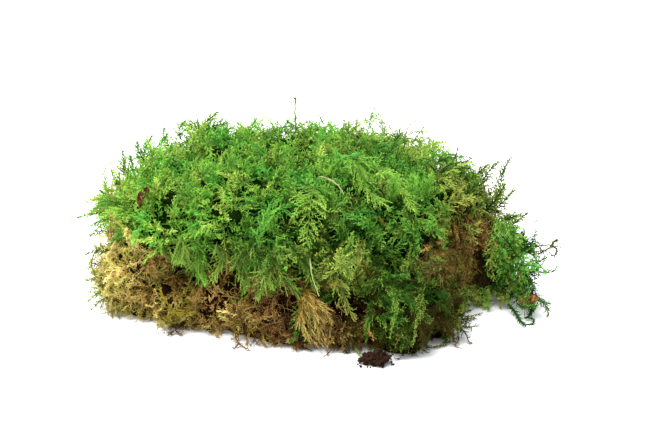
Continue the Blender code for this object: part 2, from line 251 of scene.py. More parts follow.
def layEarth(tree, look):
    place = addNode(tree, "TexCoord")
    scale = perMetre / look["grain"]
    coarse = addNode(tree, "TexNoise", {"Scale": scale * 0.25, "Detail": 4, "Roughness": 0.65},
                     {"Vector": (place, "Object")})
    ramp = addNode(tree, "ValToRGB", {"stops": look["stops"]}, {0: (coarse, 0)})
    grains = addNode(tree, "TexVoronoi", {"Scale": scale}, {"Vector": (place, "Object")})
    dust = addNode(tree, "TexNoise", {"Scale": scale * 2, "Detail": 2}, {"Vector": (place, "Object")})
    dusty = addNode(tree, "MapRange", {"From Min": 0.35, "From Max": 0.7, "To Min": 0.55, "To Max": 1.25},
                    {"Value": (dust, 0)})
    colour = addNode(tree, "VectorMath", {"operation": "SCALE"}, {0: (ramp, 0), "Scale": (dusty, 0)})
    high = addNode(tree, "Math", {"operation": "ADD"}, {0: (grains, "Distance"), 1: (dust, 0)})
    rough = addNode(tree, "MapRange",
                    {"To Min": look["roughness"] - 0.12, "To Max": look["roughness"] + 0.08},
                    {"Value": (dust, 0)})
    bump = addNode(tree, "Bump", {"Strength": 0.8, "Distance": look["depth"] / perMetre},
                   {"Height": (high, 0)})
    return addNode(tree, "BsdfPrincipled", {"IOR": 1.45, "Specular IOR Level": 0.12},
                   {"Base Color": (colour, 0), "Roughness": (rough, 0), "Normal": (bump, 0)})


def layWithered(tree):
    # a dead tree leaf caught in the moss: papery, with pale side veins about a millimetre apart
    place = addNode(tree, "TexCoord")
    tilted = addNode(tree, "Mapping", {"Rotation": (0.4, 0.9, 0.5)}, {"Vector": (place, "Object")})
    bands = perMetre / 1.1 / 20 * 6.283  # a wave texture repeats every 6.283 / 20 / scale
    veins = addNode(tree, "TexWave", {"Scale": bands, "Distortion": 3, "Detail Scale": 2},
                    {"Vector": (tilted, 0)})
    blotch = addNode(tree, "TexNoise", {"Scale": perMetre / 2.5, "Detail": 4}, {"Vector": (place, "Object")})
    brown = addNode(tree, "ValToRGB", {"stops": [(0.3, "#1e1006"), (0.5, "#4a2c14"), (0.7, "#74502a")]},
                    {0: (blotch, 0)})
    lines = addNode(tree, "MapRange", {"From Min": 0.75, "To Min": 0.9, "To Max": 1.2}, {"Value": (veins, 1)})
    colour = addNode(tree, "VectorMath", {"operation": "SCALE"}, {0: (brown, 0), "Scale": (lines, 0)})
    bump = addNode(tree, "Bump", {"Strength": 0.6, "Distance": 0.2 / perMetre}, {"Height": (veins, 1)})
    return addNode(tree, "BsdfPrincipled", {"Roughness": 0.7, "IOR": 1.45, "Specular IOR Level": 0.12},
                   {"Base Color": (colour, 0), "Normal": (bump, 0)})


def layPaper(tree):
    # smooth white backdrop paper, its tooth under a tenth of a millimetre
    place = addNode(tree, "TexCoord")
    tooth = addNode(tree, "TexNoise", {"Scale": perMetre / 0.8, "Detail": 2}, {"Vector": (place, "Object")})
    white = addNode(tree, "ValToRGB", {"stops": [(0.3, "#dcddde"), (0.7, "#dedfe0")]}, {0: (tooth, 0)})
    bump = addNode(tree, "Bump", {"Strength": 0.02, "Distance": 0.02 / perMetre}, {"Height": (tooth, 0)})
    return addNode(tree, "BsdfPrincipled", {"Roughness": 0.85, "Specular IOR Level": 0.2},
                   {"Base Color": (white, 0), "Normal": (bump, 0)})


greenLeaves = newMaterial("living_fern_moss", layLeaf, livingMoss)
brownLeaves = newMaterial("dead_fern_moss", layLeaf, deadMoss)
bareStems = newMaterial("wiry_moss_stem", layLeaf, wiryStems)
mattedInsideAndShade = newMaterial("matted_humus_and_painted_shade", layMatted, mattedHumusAndShade)
crumbledSoil = newMaterial("crumbled_dark_soil", layEarth, darkSoil)
witheredLeaf = newMaterial("withered_tree_leaf", layWithered)
flakedBark = newMaterial("flaked_rusty_bark", layEarth, rustyBark)
paperFloor = newMaterial("white_paper", layPaper)
print("materials are made")


# Growth: corners of many small faces, gathered and turned into one mesh
def newGrowth():
    return {"points": [], "faces": [], "maps": [], "count": 0}


def addFaces(growth, points, faces, maps):
    # points (n, 3), faces (m, 4) into them, maps (m, 4, 2)
    growth["points"].append(points.reshape(-1, 3))
    growth["faces"].append(faces.reshape(-1, 4) + growth["count"])
    growth["maps"].append(maps.reshape(-1, 4, 2))
    growth["count"] += points.size // 3


def overGround(rows, by=0):
    # lifts whatever lies lower than this over the ground
    rows[..., 2] = np.maximum(rows[..., 2], ground + by)


def addLoose(growth, corners, maps):
    # leaves: four corners each, nothing under the ground
    over = corners[:, :, 2].min(axis=1) > ground
    corners, maps = corners[over], maps[over]
    addFaces(growth, corners, np.arange(len(corners) * 4).reshape(-1, 4), maps)


def addStrips(growth, rings, tones, heights, closed, spread=0.006):
    # rings (strips, stations, around, 3): ribbons if open, tubes if closed
    strips, stations, around = rings.shape[:3]
    rings = rings.copy()
    overGround(rings)
    index = np.arange(strips * stations * around).reshape(strips, stations, around)
    left = index if closed else index[:, :, :-1]
    right = np.roll(index, -1, axis=2) if closed else index[:, :, 1:]
    faces = np.stack([left[:, :-1], right[:, :-1], right[:, 1:], left[:, 1:]], axis=-1)
    sides = faces.shape[2]
    steps = np.arange(sides + 1) / sides * spread
    u = np.broadcast_to(tones[:, None, None] + steps[None, None, :], (strips, stations, sides + 1))
    v = np.broadcast_to(heights[:, :, None], (strips, stations, sides + 1))
    place = np.stack([u, v], axis=-1)
    maps = np.stack([place[:, :-1, :-1], place[:, :-1, 1:], place[:, 1:, 1:], place[:, 1:, :-1]], axis=-2)
    addFaces(growth, rings, faces, maps)


def meshObject(name, growth, material, smooth=False):
    points = np.concatenate(growth["points"]) / perMetre
    faces = np.concatenate(growth["faces"])
    maps = np.clip(np.concatenate(growth["maps"]), 0.004, 0.996)
    mesh = bpy.data.meshes.new(name)
    mesh.vertices.add(len(points))
    mesh.vertices.foreach_set("co", points.astype(np.float32).ravel())
    mesh.loops.add(faces.size)
    mesh.loops.foreach_set("vertex_index", faces.astype(np.int32).ravel())
    mesh.polygons.add(len(faces))
    mesh.polygons.foreach_set("loop_start", np.arange(0, faces.size, 4, dtype=np.int32))
    mesh.polygons.foreach_set("use_smooth", np.full(len(faces), smooth))
    mesh.uv_layers.new(name="OFBake").uv.foreach_set("vector", maps.astype(np.float32).ravel())
    mesh.materials.append(material)
    mesh.update()
    mesh.validate()
    return linked(name, mesh)


def plainObject(name, points, faces, material, smooth=False):
    # an object from points in millimetres and faces of any kind
    mesh = bpy.data.meshes.new(name)
    mesh.from_pydata((points / perMetre).tolist(), [], faces)
    if smooth:
        mesh.shade_smooth()
    mesh.materials.append(material)
    return linked(name, mesh)


def standFor(obj, slot, *nodes):
    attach(obj, "root")
    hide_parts(*nodes)
    print(obj.name, "has", sum(len(face.vertices) - 2 for face in obj.data.polygons), "triangles")


def unit(rows):
    return rows / np.maximum(np.linalg.norm(rows, axis=-1, keepdims=True), 1e-9)


def along(table, share):
    # table (fronds, stations, 3) read at share (fronds, spots)
    spot = share * (table.shape[1] - 1)
    low = np.clip(spot.astype(int), 0, table.shape[1] - 2)
    part = (spot - low)[..., None]
    rows = np.arange(len(table))[:, None]
    return table[rows, low] * (1 - part) + table[rows, low + 1] * part


def sideways(forward, ups):
    across = unit(np.cross(forward, ups))
    return across, np.cross(across, forward)


def addTubes(growth, spines, ups, tones, heights, thickness, taper=0.4, sides=3):
    forward = unit(np.gradient(spines, axis=1))
    across, over = sideways(forward, ups)
    turn = np.arange(sides) * 2 * math.pi / sides
    ring = (across[:, :, None] * np.cos(turn)[None, None, :, None]
            + over[:, :, None] * np.sin(turn)[None, None, :, None])
    radius = 0.5 * thickness * np.linspace(1, taper, spines.shape[1])
    addStrips(growth, spines[:, :, None] + ring * radius[None, :, None, None], tones, heights, True)


# A frond: a stem with side branches, each a feather of small pointed leaves
frondShape = {
    "full": 30,  # a frond this long has the branch length below
    "branches": 42,
    "bareFoot": 0.05,
    "branchLength": 6.4,
    "angles": (62, 34),    # off the stem at its foot and at its tip, in degrees
    "lift": (0.06, 0.22),  # branches out of the frond's plane: mean and spread
    "sweep": 0.75,         # branches bend towards the tip
    "droop": 0.15,
    "curl": 0.32,        # or any other way
    "hook": (0.9, 0.5),  # how far they turn over their length: mean and spread, in radians
    "leafGap": 0.85,
    "leafLength": 1.35,
    "leafWidth": 0.42,
    "leafAngle": 32,
    "leafRoll": 0.35,
    "leafLift": 0.16,
    "stem": 0.6,
    "axis": 0.42,                         # width of a side branch's own axis
    "heights": (0.12, 0.16, 0.40, 0.30),  # map height, painted shade low and painted light high: at the foot, added by stem, by branch and by leaf
    "toneSpread": 0.03,
    "lightSpread": 0.07,
}


def growFronds(growth, spines, ups, tones, rng, lights=0, **changes):
    look = {**frondShape, **changes}
    count = len(spines)
    length = np.linalg.norm(np.diff(spines, axis=1), axis=2).sum(axis=1)
    size = length / look["full"]
    forward = unit(np.gradient(spines, axis=1))
    across, over = sideways(forward, ups)
    base, byStem, byBranch, byLeaf = look["heights"]
    lights = np.broadcast_to(lights, count)
    stemHeights = lights[:, None] + base + byStem * 0.6 * np.linspace(0, 1, spines.shape[1])[None]
    addTubes(growth, spines, ups, tones, stemHeights, look["stem"])
    # side branches, left and right in turn
    each = look["branches"]
    foot = look["bareFoot"]
    at = foot + (1 - foot) * (np.arange(each) + rng.uniform(0, 0.8, (count, each))) / each
    side = np.where(np.arange(each) % 2, 1, -1)[None, :, None]
    start, ahead, aside, above = (along(table, at) for table in (spines, forward, across, over))
    profile = np.minimum(1, 0.42 + 2.4 * at) * (1 - at) ** 0.62 * 1.12 + 0.10
    reach = look["branchLength"] * size[:, None] * profile * rng.uniform(0.7, 1.15, at.shape)
    first, last = look["angles"]
    angle = np.radians(first + (last - first) * at) + rng.normal(0, 0.13, at.shape)
    lift = rng.normal(look["lift"][0], look["lift"][1], at.shape)[..., None]
    heading = unit(np.cos(angle)[..., None] * ahead + np.sin(angle)[..., None] * side * aside + lift * above)
    bend = (look["sweep"] * ahead - look["droop"] * above * (0.5 + rng.random(at.shape))[..., None]
            + rng.normal(0, look["curl"], heading.shape))
    bend[..., 2] -= 0.08
    start, heading, bend, above = (part.reshape(-1, 3) for part in (start, heading, bend, above))
    reach = reach.ravel()
    branchTone = np.repeat(tones, each) + rng.normal(0, look["toneSpread"], reach.shape)
    branchBase = base + byStem * at.ravel() + rng.normal(0, look["lightSpread"], reach.shape)
    branchBase = branchBase + np.repeat(lights, each)
    hook = np.maximum(0.08, rng.normal(look["hook"][0], look["hook"][1], reach.shape))
    across = unit(bend - (bend * heading).sum(axis=1, keepdims=True) * heading)

    def onBranch(owner, share):
        # place and direction on the arc that each branch follows
        turned = (hook[owner] * share)[..., None]
        out = np.sin(turned) * heading[owner] + (1 - np.cos(turned)) * across[owner]
        place = start[owner] + (reach[owner] / hook[owner])[..., None] * out
        return place, np.cos(turned) * heading[owner] + np.sin(turned) * across[owner]

    # the branch's own axis, a narrow ribbon
    shares = np.array([0, 0.5, 1])[None]
    route, _ = onBranch(np.repeat(np.arange(len(reach))[:, None], 3, axis=1),
                        np.repeat(shares, len(reach), axis=0))
    roll = rng.normal(0, look["leafRoll"], reach.shape)[:, None]
    branchUp = unit(above + roll * np.cross(heading, above))
    flat = unit(np.cross(heading, branchUp))
    half = (0.5 * look["axis"] * np.array([1, 0.8, 0.25])[None, :, None]) * flat[:, None]
    ribbon = np.stack([route - half, route + half], axis=2)
    heights = branchBase[:, None] + byBranch * shares
    addStrips(growth, ribbon, branchTone, heights, False, 0.01)
    # leaves
    many = np.maximum(3, np.round(reach / look["leafGap"])).astype(int)
    owner = np.repeat(np.arange(len(reach)), many)
    order = np.arange(len(owner)) - np.repeat(np.cumsum(many) - many, many)
    share = np.minimum(1, (order + 0.7 + rng.uniform(-0.3, 0.3, len(owner))) / many[owner])
    spot, tangent = onBranch(owner, share)
    up = unit(branchUp[owner] + rng.normal(0, 0.25, (len(owner), 1)) * flat[owner])
    out = np.cross(tangent, up) * np.where(order % 2, 1, -1)[:, None]
    slant = np.radians(look["leafAngle"]) + rng.normal(0, 0.2, len(owner))
    slant = slant * (1 - 0.7 * np.maximum(0, share - 0.75) * 4)
    point = unit(np.cos(slant)[:, None] * tangent + np.sin(slant)[:, None] * out
                 + rng.normal(0.05, look["leafLift"], (len(owner), 1)) * up)
    long = (look["leafLength"] * np.clip(reach[owner] / 5, 0.45, 1) * (1.08 - 0.55 * share ** 1.6)
            * rng.uniform(0.75, 1.2, len(owner)))[:, None]
    wide = unit(np.cross(point, unit(up + rng.normal(0, 0.35, (len(owner), 3)))))
    wide = wide * 0.5 * look["leafWidth"] * rng.uniform(0.75, 1.15, (len(owner), 1))
    middle = spot + 0.42 * long * point
    tip = spot + long * (point + 0.15 * tangent + rng.normal(0, 0.12, point.shape))
    corners = np.stack([spot, middle + wide, tip, middle - wide], axis=1)
    tone = branchTone[owner] + rng.normal(0, 0.6 * look["toneSpread"], len(owner))
    low = branchBase[owner] + byBranch * share + rng.normal(0, 0.03, len(owner))
    maps = np.stack([
        np.stack([tone, low], axis=-1),
        np.stack([tone + 0.005, low + 0.45 * byLeaf], axis=-1),
        np.stack([tone, low + byLeaf], axis=-1),
        np.stack([tone - 0.005, low + 0.45 * byLeaf], axis=-1),
    ], axis=1)
    addLoose(growth, corners, maps)


# The clump's outer skin: all its masses made one, for fronds to lie along
massNodes = ["moss_cushion", "thatch_mat", "front_green_lobe", "olive_lobe", "right_tuft", "ochre_wad",
             "yellow_wad", "pale_wad", "front_brown_wad", "centre_brown_wad", "root_patch"]
openMass = "right_tuft"  # it shows daylight between its fronds
skinVoxel = 2.4
clumpMiddle = Vector((-3, 8, 20))
# Dark hollows between hummocks: x, y, z, reach and depth
hollows = [
    (-62, -31.5, 54.5, 4.6, 12), (64.1, -27.1, 35.3, 7, 12), (70.9, -21.7, 21.7, 6, 8), (73.8, -8, 8, 6, 7),
    (-52.2, -44.1, 21.8, 6.5, 12), (7, -68.8, 22.5, 5, 8), (19.1, -66.7, 17.4, 5, 8),
    (-43.2, -35.9, 58.3, 4.5, 3.5), (-19.6, -50.8, 54.4, 4, 3.5), (-9.3, -57.8, 52.1, 4, 5),
    (10.2, -56.6, 55.5, 3.5, 5), (-24.8, -52.8, 49.1, 4, 3), (-38.9, -48.3, 29.9, 5, 4.5),
    (-3.7, -66.1, 37.6, 5, 5), (30.3, -62.4, 36.3, 5, 5), (35, 40, 58, 8, 6), (-30, 70, 36, 7, 6),
    (10, 82, 20, 7, 6), (69, -50, 10, 11, 9), (66, -54, 22, 7, 5), (-60, 55, 40, 7, 6), (60, 45, 30, 7, 6),
    (0, 5, 66, 6, 4), (-20, 20, 66, 5, 4), (40, 5, 58, 5, 4),
    (-68.5, -29.5, 52.5, 6, -7.5),  # a hummock that carries the leaf scrap
]


def meshArrays(mesh):
    # its points in millimetres, and its triangles
    mesh.calc_loop_triangles()
    points = np.empty(len(mesh.vertices) * 3, np.float32)
    mesh.vertices.foreach_get("co", points)
    faces = np.empty(len(mesh.loop_triangles) * 3, np.int32)
    mesh.loop_triangles.foreach_get("vertices", faces)
    return points.reshape(-1, 3).astype(float) * perMetre, faces.reshape(-1, 3)


def nodeMesh(name):
    return meshArrays(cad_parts[name].data)


def nodeTree(name):
    return BVHTree.FromPolygons(*(part.tolist() for part in nodeMesh(name)))


def joinedMeshes(names):
    points, faces, count = [], [], 0
    for name in names:
        p, f = nodeMesh(name)
        points.append(p)
        faces.append(f + count)
        count += len(p)
    return np.concatenate(points), np.concatenate(faces)


def remeshed(points, faces, voxel):
    mesh = bpy.data.meshes.new("to_remesh")
    mesh.from_pydata((points / perMetre).tolist(), [], faces.tolist())
    obj = linked("to_remesh", mesh)
    step = obj.modifiers.new("one_skin", "REMESH")
    step.mode = "VOXEL"
    step.voxel_size = voxel / perMetre
    made = bpy.data.meshes.new_from_object(obj.evaluated_get(bpy.context.evaluated_depsgraph_get()))
    bpy.data.objects.remove(obj)
    bpy.data.meshes.remove(mesh)
    arrays = meshArrays(made)
    bpy.data.meshes.remove(made)
    return arrays


def largestPart(points, faces):
    # the outer skin alone, without bubbles at the gaps between nodes
    label = np.arange(len(points))
    while True:
        least = label[faces].min(axis=1)
        fresh = label.copy()
        for corner in range(3):
            np.minimum.at(fresh, faces[:, corner], least)
        fresh = fresh[fresh]
        if (fresh == label).all():
            break
        label = fresh
    names, counts = np.unique(label[faces[:, 0]], return_counts=True)
    keep = label[faces[:, 0]] == names[counts.argmax()]
    used, renamed = np.unique(faces[keep], return_inverse=True)
    return points[used], renamed.reshape(-1, 3)


def smoothed(points, faces, rounds):
    edges = np.concatenate([faces[:, [0, 1]], faces[:, [1, 2]], faces[:, [2, 0]]])
    edges = np.concatenate([edges, edges[:, ::-1]])
    many = np.bincount(edges[:, 0], minlength=len(points))[:, None]
    for _ in range(rounds):
        total = np.zeros_like(points)
        for axis in range(3):
            total[:, axis] = np.bincount(edges[:, 0], points[edges[:, 1], axis], len(points))
        points = 0.5 * points + 0.5 * total / many
    return points


def normalsOf(points, faces):
    a, b, c = (points[faces[:, i]] for i in range(3))
    flat = np.cross(b - a, c - a)
    total = np.zeros_like(points)
    for axis in range(3):
        for corner in range(3):
            total[:, axis] += np.bincount(faces[:, corner], flat[:, axis], len(points))
    return unit(total)


def skinOf(names):
    # the outer skin of some nodes made one, and a tree to search it
    points, faces = largestPart(*remeshed(*joinedMeshes(names), skinVoxel))
    points = smoothed(points, faces, 3)
    return points, faces, BVHTree.FromPolygons(points.tolist(), faces.tolist())


skinFaces, skin = skinOf(massNodes)[1:]
bodyPoints, bodyFaces, body = skinOf([name for name in massNodes if name != openMass])
print("the skin has", len(skinFaces), "triangles")


def ripple(place, size, shift=(0, 0, 0)):
    # smooth noise with bumps about this many millimetres across
    return noise.noise(Vector(place) / size + Vector(shift))


def clamp(value):
    return max(0, min(1, value))


# Hummocks over the skin: height, breadth and a shift of the noise
hummocks = {"large": (7.6, 20, (0, 0, 0)), "small": (3.2, 9, (7, 3, 1)), "low": (2.6, 5.5, (2, 8, 5))}
lowUnder = 34  # the low ones are found under this height


def relief(place):
    # hummocks and hollows over the skin, in millimetres
    high = 0
    for name, (tall, breadth, shift) in hummocks.items():
        share = clamp((lowUnder - place[2]) / 10) if name == "low" else 1
        high += share * tall * ripple(place, breadth, shift)
    for x, y, z, reach, depth in hollows:
        away = (place[0] - x) ** 2 + (place[1] - y) ** 2 + (place[2] - z) ** 2
        if away < 6 * reach * reach:
            high -= depth * math.exp(-away / (reach * reach))
    return high


# Painted light and painted shade on the fronds' colours, lighter where the amount is above nothing, darker
# below: x, y, z, reach and how much
paintedLightSpots = [
    (-80, -20, 42, 34, 0.16), (-84, -30, 18, 22, 0.14), (74, 2, 44, 20, -0.08), (36, -72, 14, 22, -0.16),
    (-20, -64, 10, 28, 0.2), (-20, 50, 70, 50, 0.06), (66, -30, 18, 18, 0.04), (-16, -62, 34, 22, -0.22),
    (50, 6, 58, 22, -0.12), (12, -56, 44, 22, -0.08), (-20, -68, 10, 18, 0.08), (-60, -42, 27, 9, -0.2),
    (-52, -46, 22, 8, -0.45), (-50, -48, 6, 14, -0.1), (-43, -51, 18, 6, 0.1), (71, -17, 18, 11, -0.35),
    (64, -6, 52, 14, -0.14), (38, 42, 64, 16, -0.14), (64, -27, 36, 6, -0.4), (3, -66, 20, 8, -0.2),
    (4, -68, 27, 8, -0.5), (-78, -36, 32, 9, 0.15), (43, -66, 20, 12, -0.8), (-48, -48, 35, 9, 0.24),
    (12, -46, 64, 7, 0.15), (-62, -38, 44, 11, 0.32), (48, -45, 37, 6, -0.4), (84, -18, 16, 12, 0.26),
    (-80, -36, 13, 13, 0.18), (-85, -30, 32, 8, -0.14), (-38, -54, 24, 8, 0.15),
]


def spotShare(place, x, y, z, reach):
    # one in the middle of a spot, and less away from it
    return math.exp(-((place[0] - x) ** 2 + (place[1] - y) ** 2 + (place[2] - z) ** 2) / (reach * reach))


# Painted light and shade by height: for each millimetre of relief between two bounds, and at the ground,
# fading upwards
heightLight = {"relief": 0.045, "bounds": (-6, 4), "ground": -0.20, "fadesAt": 34}


def paintedLightAt(place):
    # painted shade on fronds in valleys and near the ground, painted light on the crests, and the painted
    # light and shade of the spots
    rule = heightLight
    low = max(0, 1 - place[2] / rule["fadesAt"])
    deepest, highest = rule["bounds"]
    light = rule["relief"] * max(deepest, min(highest, relief(place))) + rule["ground"] * low
    for *spot, amount in paintedLightSpots:
        light += amount * spotShare(place, *spot)
    return light


def downRelief(place):
    step = 1.5
    here = relief(place)
    beside = [place + Vector([step * (i == axis) for i in range(3)]) for axis in range(3)]
    return Vector([here - relief(spot) for spot in beside]) / step


nearSkin = 1.6  # a node's surface shows where it is no farther than this from the skin


def rootsOn(name, gap, rng, lowest=2, behind=False):
    # points on a node's outer side, no two nearer than the gap; behind takes those that the open tuft covers
    points, faces = nodeMesh(name)
    a, b, c = (points[faces[:, i]] for i in range(3))
    area = 0.5 * np.linalg.norm(np.cross(b - a, c - a), axis=1)
    tries = int(area.sum() / gap ** 2 * 7) + 20
    pick = rng.choice(len(faces), tries, p=area / area.sum())
    one, two = rng.random((2, tries))
    fold = one + two > 1
    one[fold], two[fold] = 1 - one[fold], 1 - two[fold]
    spots = a[pick] + one[:, None] * (b - a)[pick] + two[:, None] * (c - a)[pick]
    kept, cells = [], {}
    for spot in spots:
        if spot[2] < lowest:
            continue
        hit, normal, _, distance = (body if behind else skin).find_nearest(Vector(spot))
        if distance > nearSkin or normal.z < -0.75 or behind and skin.find_nearest(hit)[3] < nearSkin:
            continue
        cell = tuple((spot // gap).astype(int))
        near = [p for i in (-1, 0, 1) for j in (-1, 0, 1) for k in (-1, 0, 1)
                for p in cells.get((cell[0] + i, cell[1] + j, cell[2] + k), ())]
        if any((p - hit).length < gap for p in near):
            continue
        cells.setdefault(cell, []).append(hit)
        kept.append((hit, normal))
    return kept


def turned(way, up, angle):
    return way * math.cos(angle) + up.cross(way) * math.sin(angle)


def inSkin(way, up):
    # the part of a direction that runs along the skin
    return way - up * way.dot(up)


def wandering(spines, rng, rough, rise=1):
    wander = np.cumsum(rng.normal(0, rough, spines.shape), axis=1) * rise
    return spines + wander - wander[:, :1]


# Which way fronds that lie on the skin run: downwards, outwards, to the front and off the hummocks
pull = {"down": 0.9, "out": 0.6, "front": 0.25, "offHummocks": 4}


def laySpines(roots, rng, length, depths, scatter=0.7, turn=0.9, rough=0.6, perks=1.8):
    # each spine sets out from its root and follows the skin
    stations = 8
    spines, ups = [], []
    for place, up in roots:
        size = rng.uniform(*length)
        step = size / (stations - 1)
        out = Vector((place.x - clumpMiddle.x, place.y - clumpMiddle.y, 0)).normalized()
        way = Vector((0, 0, -pull["down"])) + out * pull["out"] + Vector((0, -pull["front"], 0))
        way = inSkin(way + downRelief(place) * pull["offHummocks"], up)
        if way.length < 1e-3:
            way = up.orthogonal()
        way = turned(way.normalized(), up, rng.normal(0, scatter)).normalized()
        bendBy = rng.normal(0, turn) / (stations - 1)
        perk = rng.normal(0, perks)  # how far the tip stands off
        line, tops = [], []
        for i in range(stations):
            share = i / (stations - 1)
            deep = np.interp(share, (0, 0.35, 0.8, 1), depths) + relief(place) + perk * share * share
            line.append(place + up * deep)
            tops.append(up)
            way = turned(inSkin(way, up).normalized(), up, bendBy).normalized()
            place, normal, _, _ = skin.find_nearest(place + way * step)
            up = (up + normal).normalized()
        spines.append(line)
        ups.append(tops)
    spines = wandering(np.array(spines), rng, rough, np.linspace(0.2, 1, stations)[None, :, None])
    overGround(spines, 0.7)
    return spines, unit(np.array(ups) + rng.normal(0, 0.22, (len(spines), 1, 3)))


def raiseSprigs(roots, rng, length, foot, lean=0.9):
    # short upright shoots that end about at the skin
    place = np.array([tuple(root[0]) for root in roots])
    up = np.array([tuple(root[1]) for root in roots])
    height = np.array([relief(root[0]) for root in roots])
    side = rng.normal(0, 1, place.shape)
    side = unit(side - up * (side * up).sum(axis=1, keepdims=True))
    size = rng.uniform(*length, len(place))[:, None]
    heading = unit(up + lean * rng.random((len(place), 1)) * side)
    bend = unit(np.cross(side, up) * rng.normal(0, 0.7, (len(place), 1)) + side) - 0.35 * up
    share = np.linspace(0, 1, 5)[None, :, None]
    start = place + up * (foot + height[:, None])
    spines = start[:, None] + size[:, None] * (share * heading[:, None] + 0.5 * share ** 2 * bend[:, None])
    overGround(spines, 0.5)
    flat = unit(rng.normal(0, 1, place.shape))
    return spines, np.broadcast_to(flat[:, None], spines.shape)


# Tufts: the outermost shoots lean out by open, and each stands further round than the last, in radians
tuftShape = {"shoots": 7, "open": 1.2, "round": 2.4}


def raiseTufts(roots, rng, length, foot):
    # rounded tufts: shoots that fan out from one buried point, their tips in a dome
    spines, flats = [], []
    share = np.linspace(0, 1, 5)[:, None]
    for place, up in roots:
        lean = Vector(rng.normal(0, 0.25, 3))
        axis = (up + lean).normalized()
        one = axis.orthogonal().normalized()
        two = axis.cross(one)
        heart = place + up * (foot + relief(place))
        first = rng.uniform(0, fullTurn)
        for j in range(tuftShape["shoots"]):
            polar = tuftShape["open"] * math.sqrt((j + 0.4) / tuftShape["shoots"]) + rng.normal(0, 0.1)
            around = first + tuftShape["round"] * j
            out = one * math.cos(around) + two * math.sin(around)
            aim = axis * math.cos(polar) + out * math.sin(polar)
            size = rng.uniform(*length)
            bend = out * rng.uniform(0, 0.7) + Vector(rng.normal(0, 0.35, 3)) - axis * 0.15
            spines.append(np.array(heart)
                          + size * (share * np.array(aim) + 0.5 * share ** 2 * np.array(bend)))
            flats.append(np.cross(np.array(aim), rng.normal(0, 1, 3)))
    spines = np.array(spines)
    overGround(spines, 0.5)
    flats = unit(np.array(flats))
    return spines, np.broadcast_to(flats[:, None], spines.shape)


def tuftShare(place):
    # the left and the crest grow in tufts; the front and the right in long fronds
    left = 0.75 - place.x / 90 + (place.z - 48) / 60
    return left + 0.8 * ripple(place, 16, (5.5, 1.2, 0.3))


def tufty(place):
    return tuftShare(place) > 0.5


def fronded(place):
    return tuftShare(place) < 0.62


def atFoot(place):
    return place.z < 8


# How the layers of a coat grow: changes to the frond's shape for each kind of growth
growthKinds = {
    "under": dict(branches=26, branchLength=8, leafGap=1.6, axis=0.9, leafWidth=0.7, leafLength=2.3,
        heights=(0.06, 0.1, 0.26, 0.16)),
    "frond": {},
    "sprig": dict(full=11, branches=16, branchLength=3.6, leafGap=0.7, leafLength=1.2, leafWidth=0.46,
        axis=0.46, stem=0.5, bareFoot=0.12, curl=0.5, hook=(1.2, 0.6), lift=(0.1, 0.4),
        heights=(0.14, 0.3, 0.36, 0.3)),
    "tuft": dict(full=10, branches=14, branchLength=3.4, angles=(58, 34), leafGap=0.7, leafLength=1.25,
        leafWidth=0.48, axis=0.5, stem=0.55, bareFoot=0.3, curl=0.6, hook=(1.3, 0.7), lift=(0.1, 0.4),
        sweep=1, heights=(-0.06, 0.56, 0.42, 0.28), toneSpread=0.06, lightSpread=0.1),
    # dead fronds: shrivelled, their branches laid along the stem and rolled in, their leaves clinging
    "deadUnder": dict(branches=20, branchLength=8, angles=(34, 16), leafGap=1.7, leafAngle=20,
        leafWidth=0.5, leafLength=2, axis=0.7, curl=0.45, lift=(0.1, 0.4), heights=(-0.12, 0.14, 0.2, 0.12),
        toneSpread=0.05),
    "deadFrond": dict(branches=50, branchLength=6, angles=(40, 18), leafGap=1.5, leafAngle=17,
        leafWidth=0.24, leafLength=1.05, axis=0.28, stem=0.45, curl=0.6, hook=(1.8, 0.9), lift=(0.12, 0.35),
        sweep=0.8, droop=0.4, heights=(0.12, 0.24, 0.34, 0.22), toneSpread=0.06, lightSpread=0.08),
    "deadSprig": dict(full=11, branches=16, branchLength=4.4, angles=(46, 16), leafGap=1.3, leafAngle=18,
        leafLength=1, leafWidth=0.26, axis=0.28, stem=0.4, curl=0.8, hook=(2, 0.9), lift=(0.1, 0.4),
        heights=(0.16, 0.34, 0.3, 0.22), toneSpread=0.08, lightSpread=0.14),
}
livingCoat = [
    dict(kind="under", gap=7.8, length=(18, 28), depths=(-13, -8, -5.5, -5), scatter=1.2),
    dict(kind="frond", gap=5.7, length=(15, 30), depths=(-10, -2, 0.3, 0.8), scatter=0.8, where=fronded,
        uneven=0.08),
    dict(kind="tuft", gap=8.8, length=(9, 12.5), foot=-9.5, where=tufty, uneven=0.08),
    dict(kind="sprig", gap=6.6, length=(8, 13), foot=-6.5, uneven=0.08),
]
deadCoat = [
    dict(kind="deadUnder", gap=8, length=(16, 26), depths=(-10, -6, -4.5, -5.5), scatter=1.6, rough=1.1),
    dict(kind="deadFrond", gap=5.8, length=(12, 22), depths=(-7, -1, 0.6, -1), scatter=1.2, rough=0.5,
        turn=3.2, perks=3, uneven=0.18),
    dict(kind="deadSprig", gap=4.8, length=(6, 11), foot=-5.5, uneven=0.16),
    dict(kind="deadSprig", gap=3.6, length=(5, 9), foot=-2.5, uneven=0.1, where=atFoot),
]
hiddenCoat = [
    dict(kind="deadSprig", gap=3.6, length=(8, 13), foot=-8, lowest=1, behind=True, lean=1.2),
]
fillingCoat = [
    dict(kind="sprig", gap=3.4, length=(8, 11.5), foot=-9.5, lean=1.3, uneven=0.08),
]
oliveCoat = [
    dict(kind="under", gap=7, length=(10, 18), depths=(-9, -6, -5, -5.5), scatter=1.2, lowest=1),
    dict(kind="frond", gap=5.4, length=(9, 17), depths=(-8, -4.5, -3.5, -4.5), scatter=0.9, lowest=1,
        turn=1.4, uneven=0.12),
    dict(kind="sprig", gap=5.5, length=(6, 9), foot=-8.5, lowest=1, uneven=0.12),
    dict(kind="sprig", gap=4.4, length=(5, 9), foot=-4, lowest=1, where=atFoot),
]


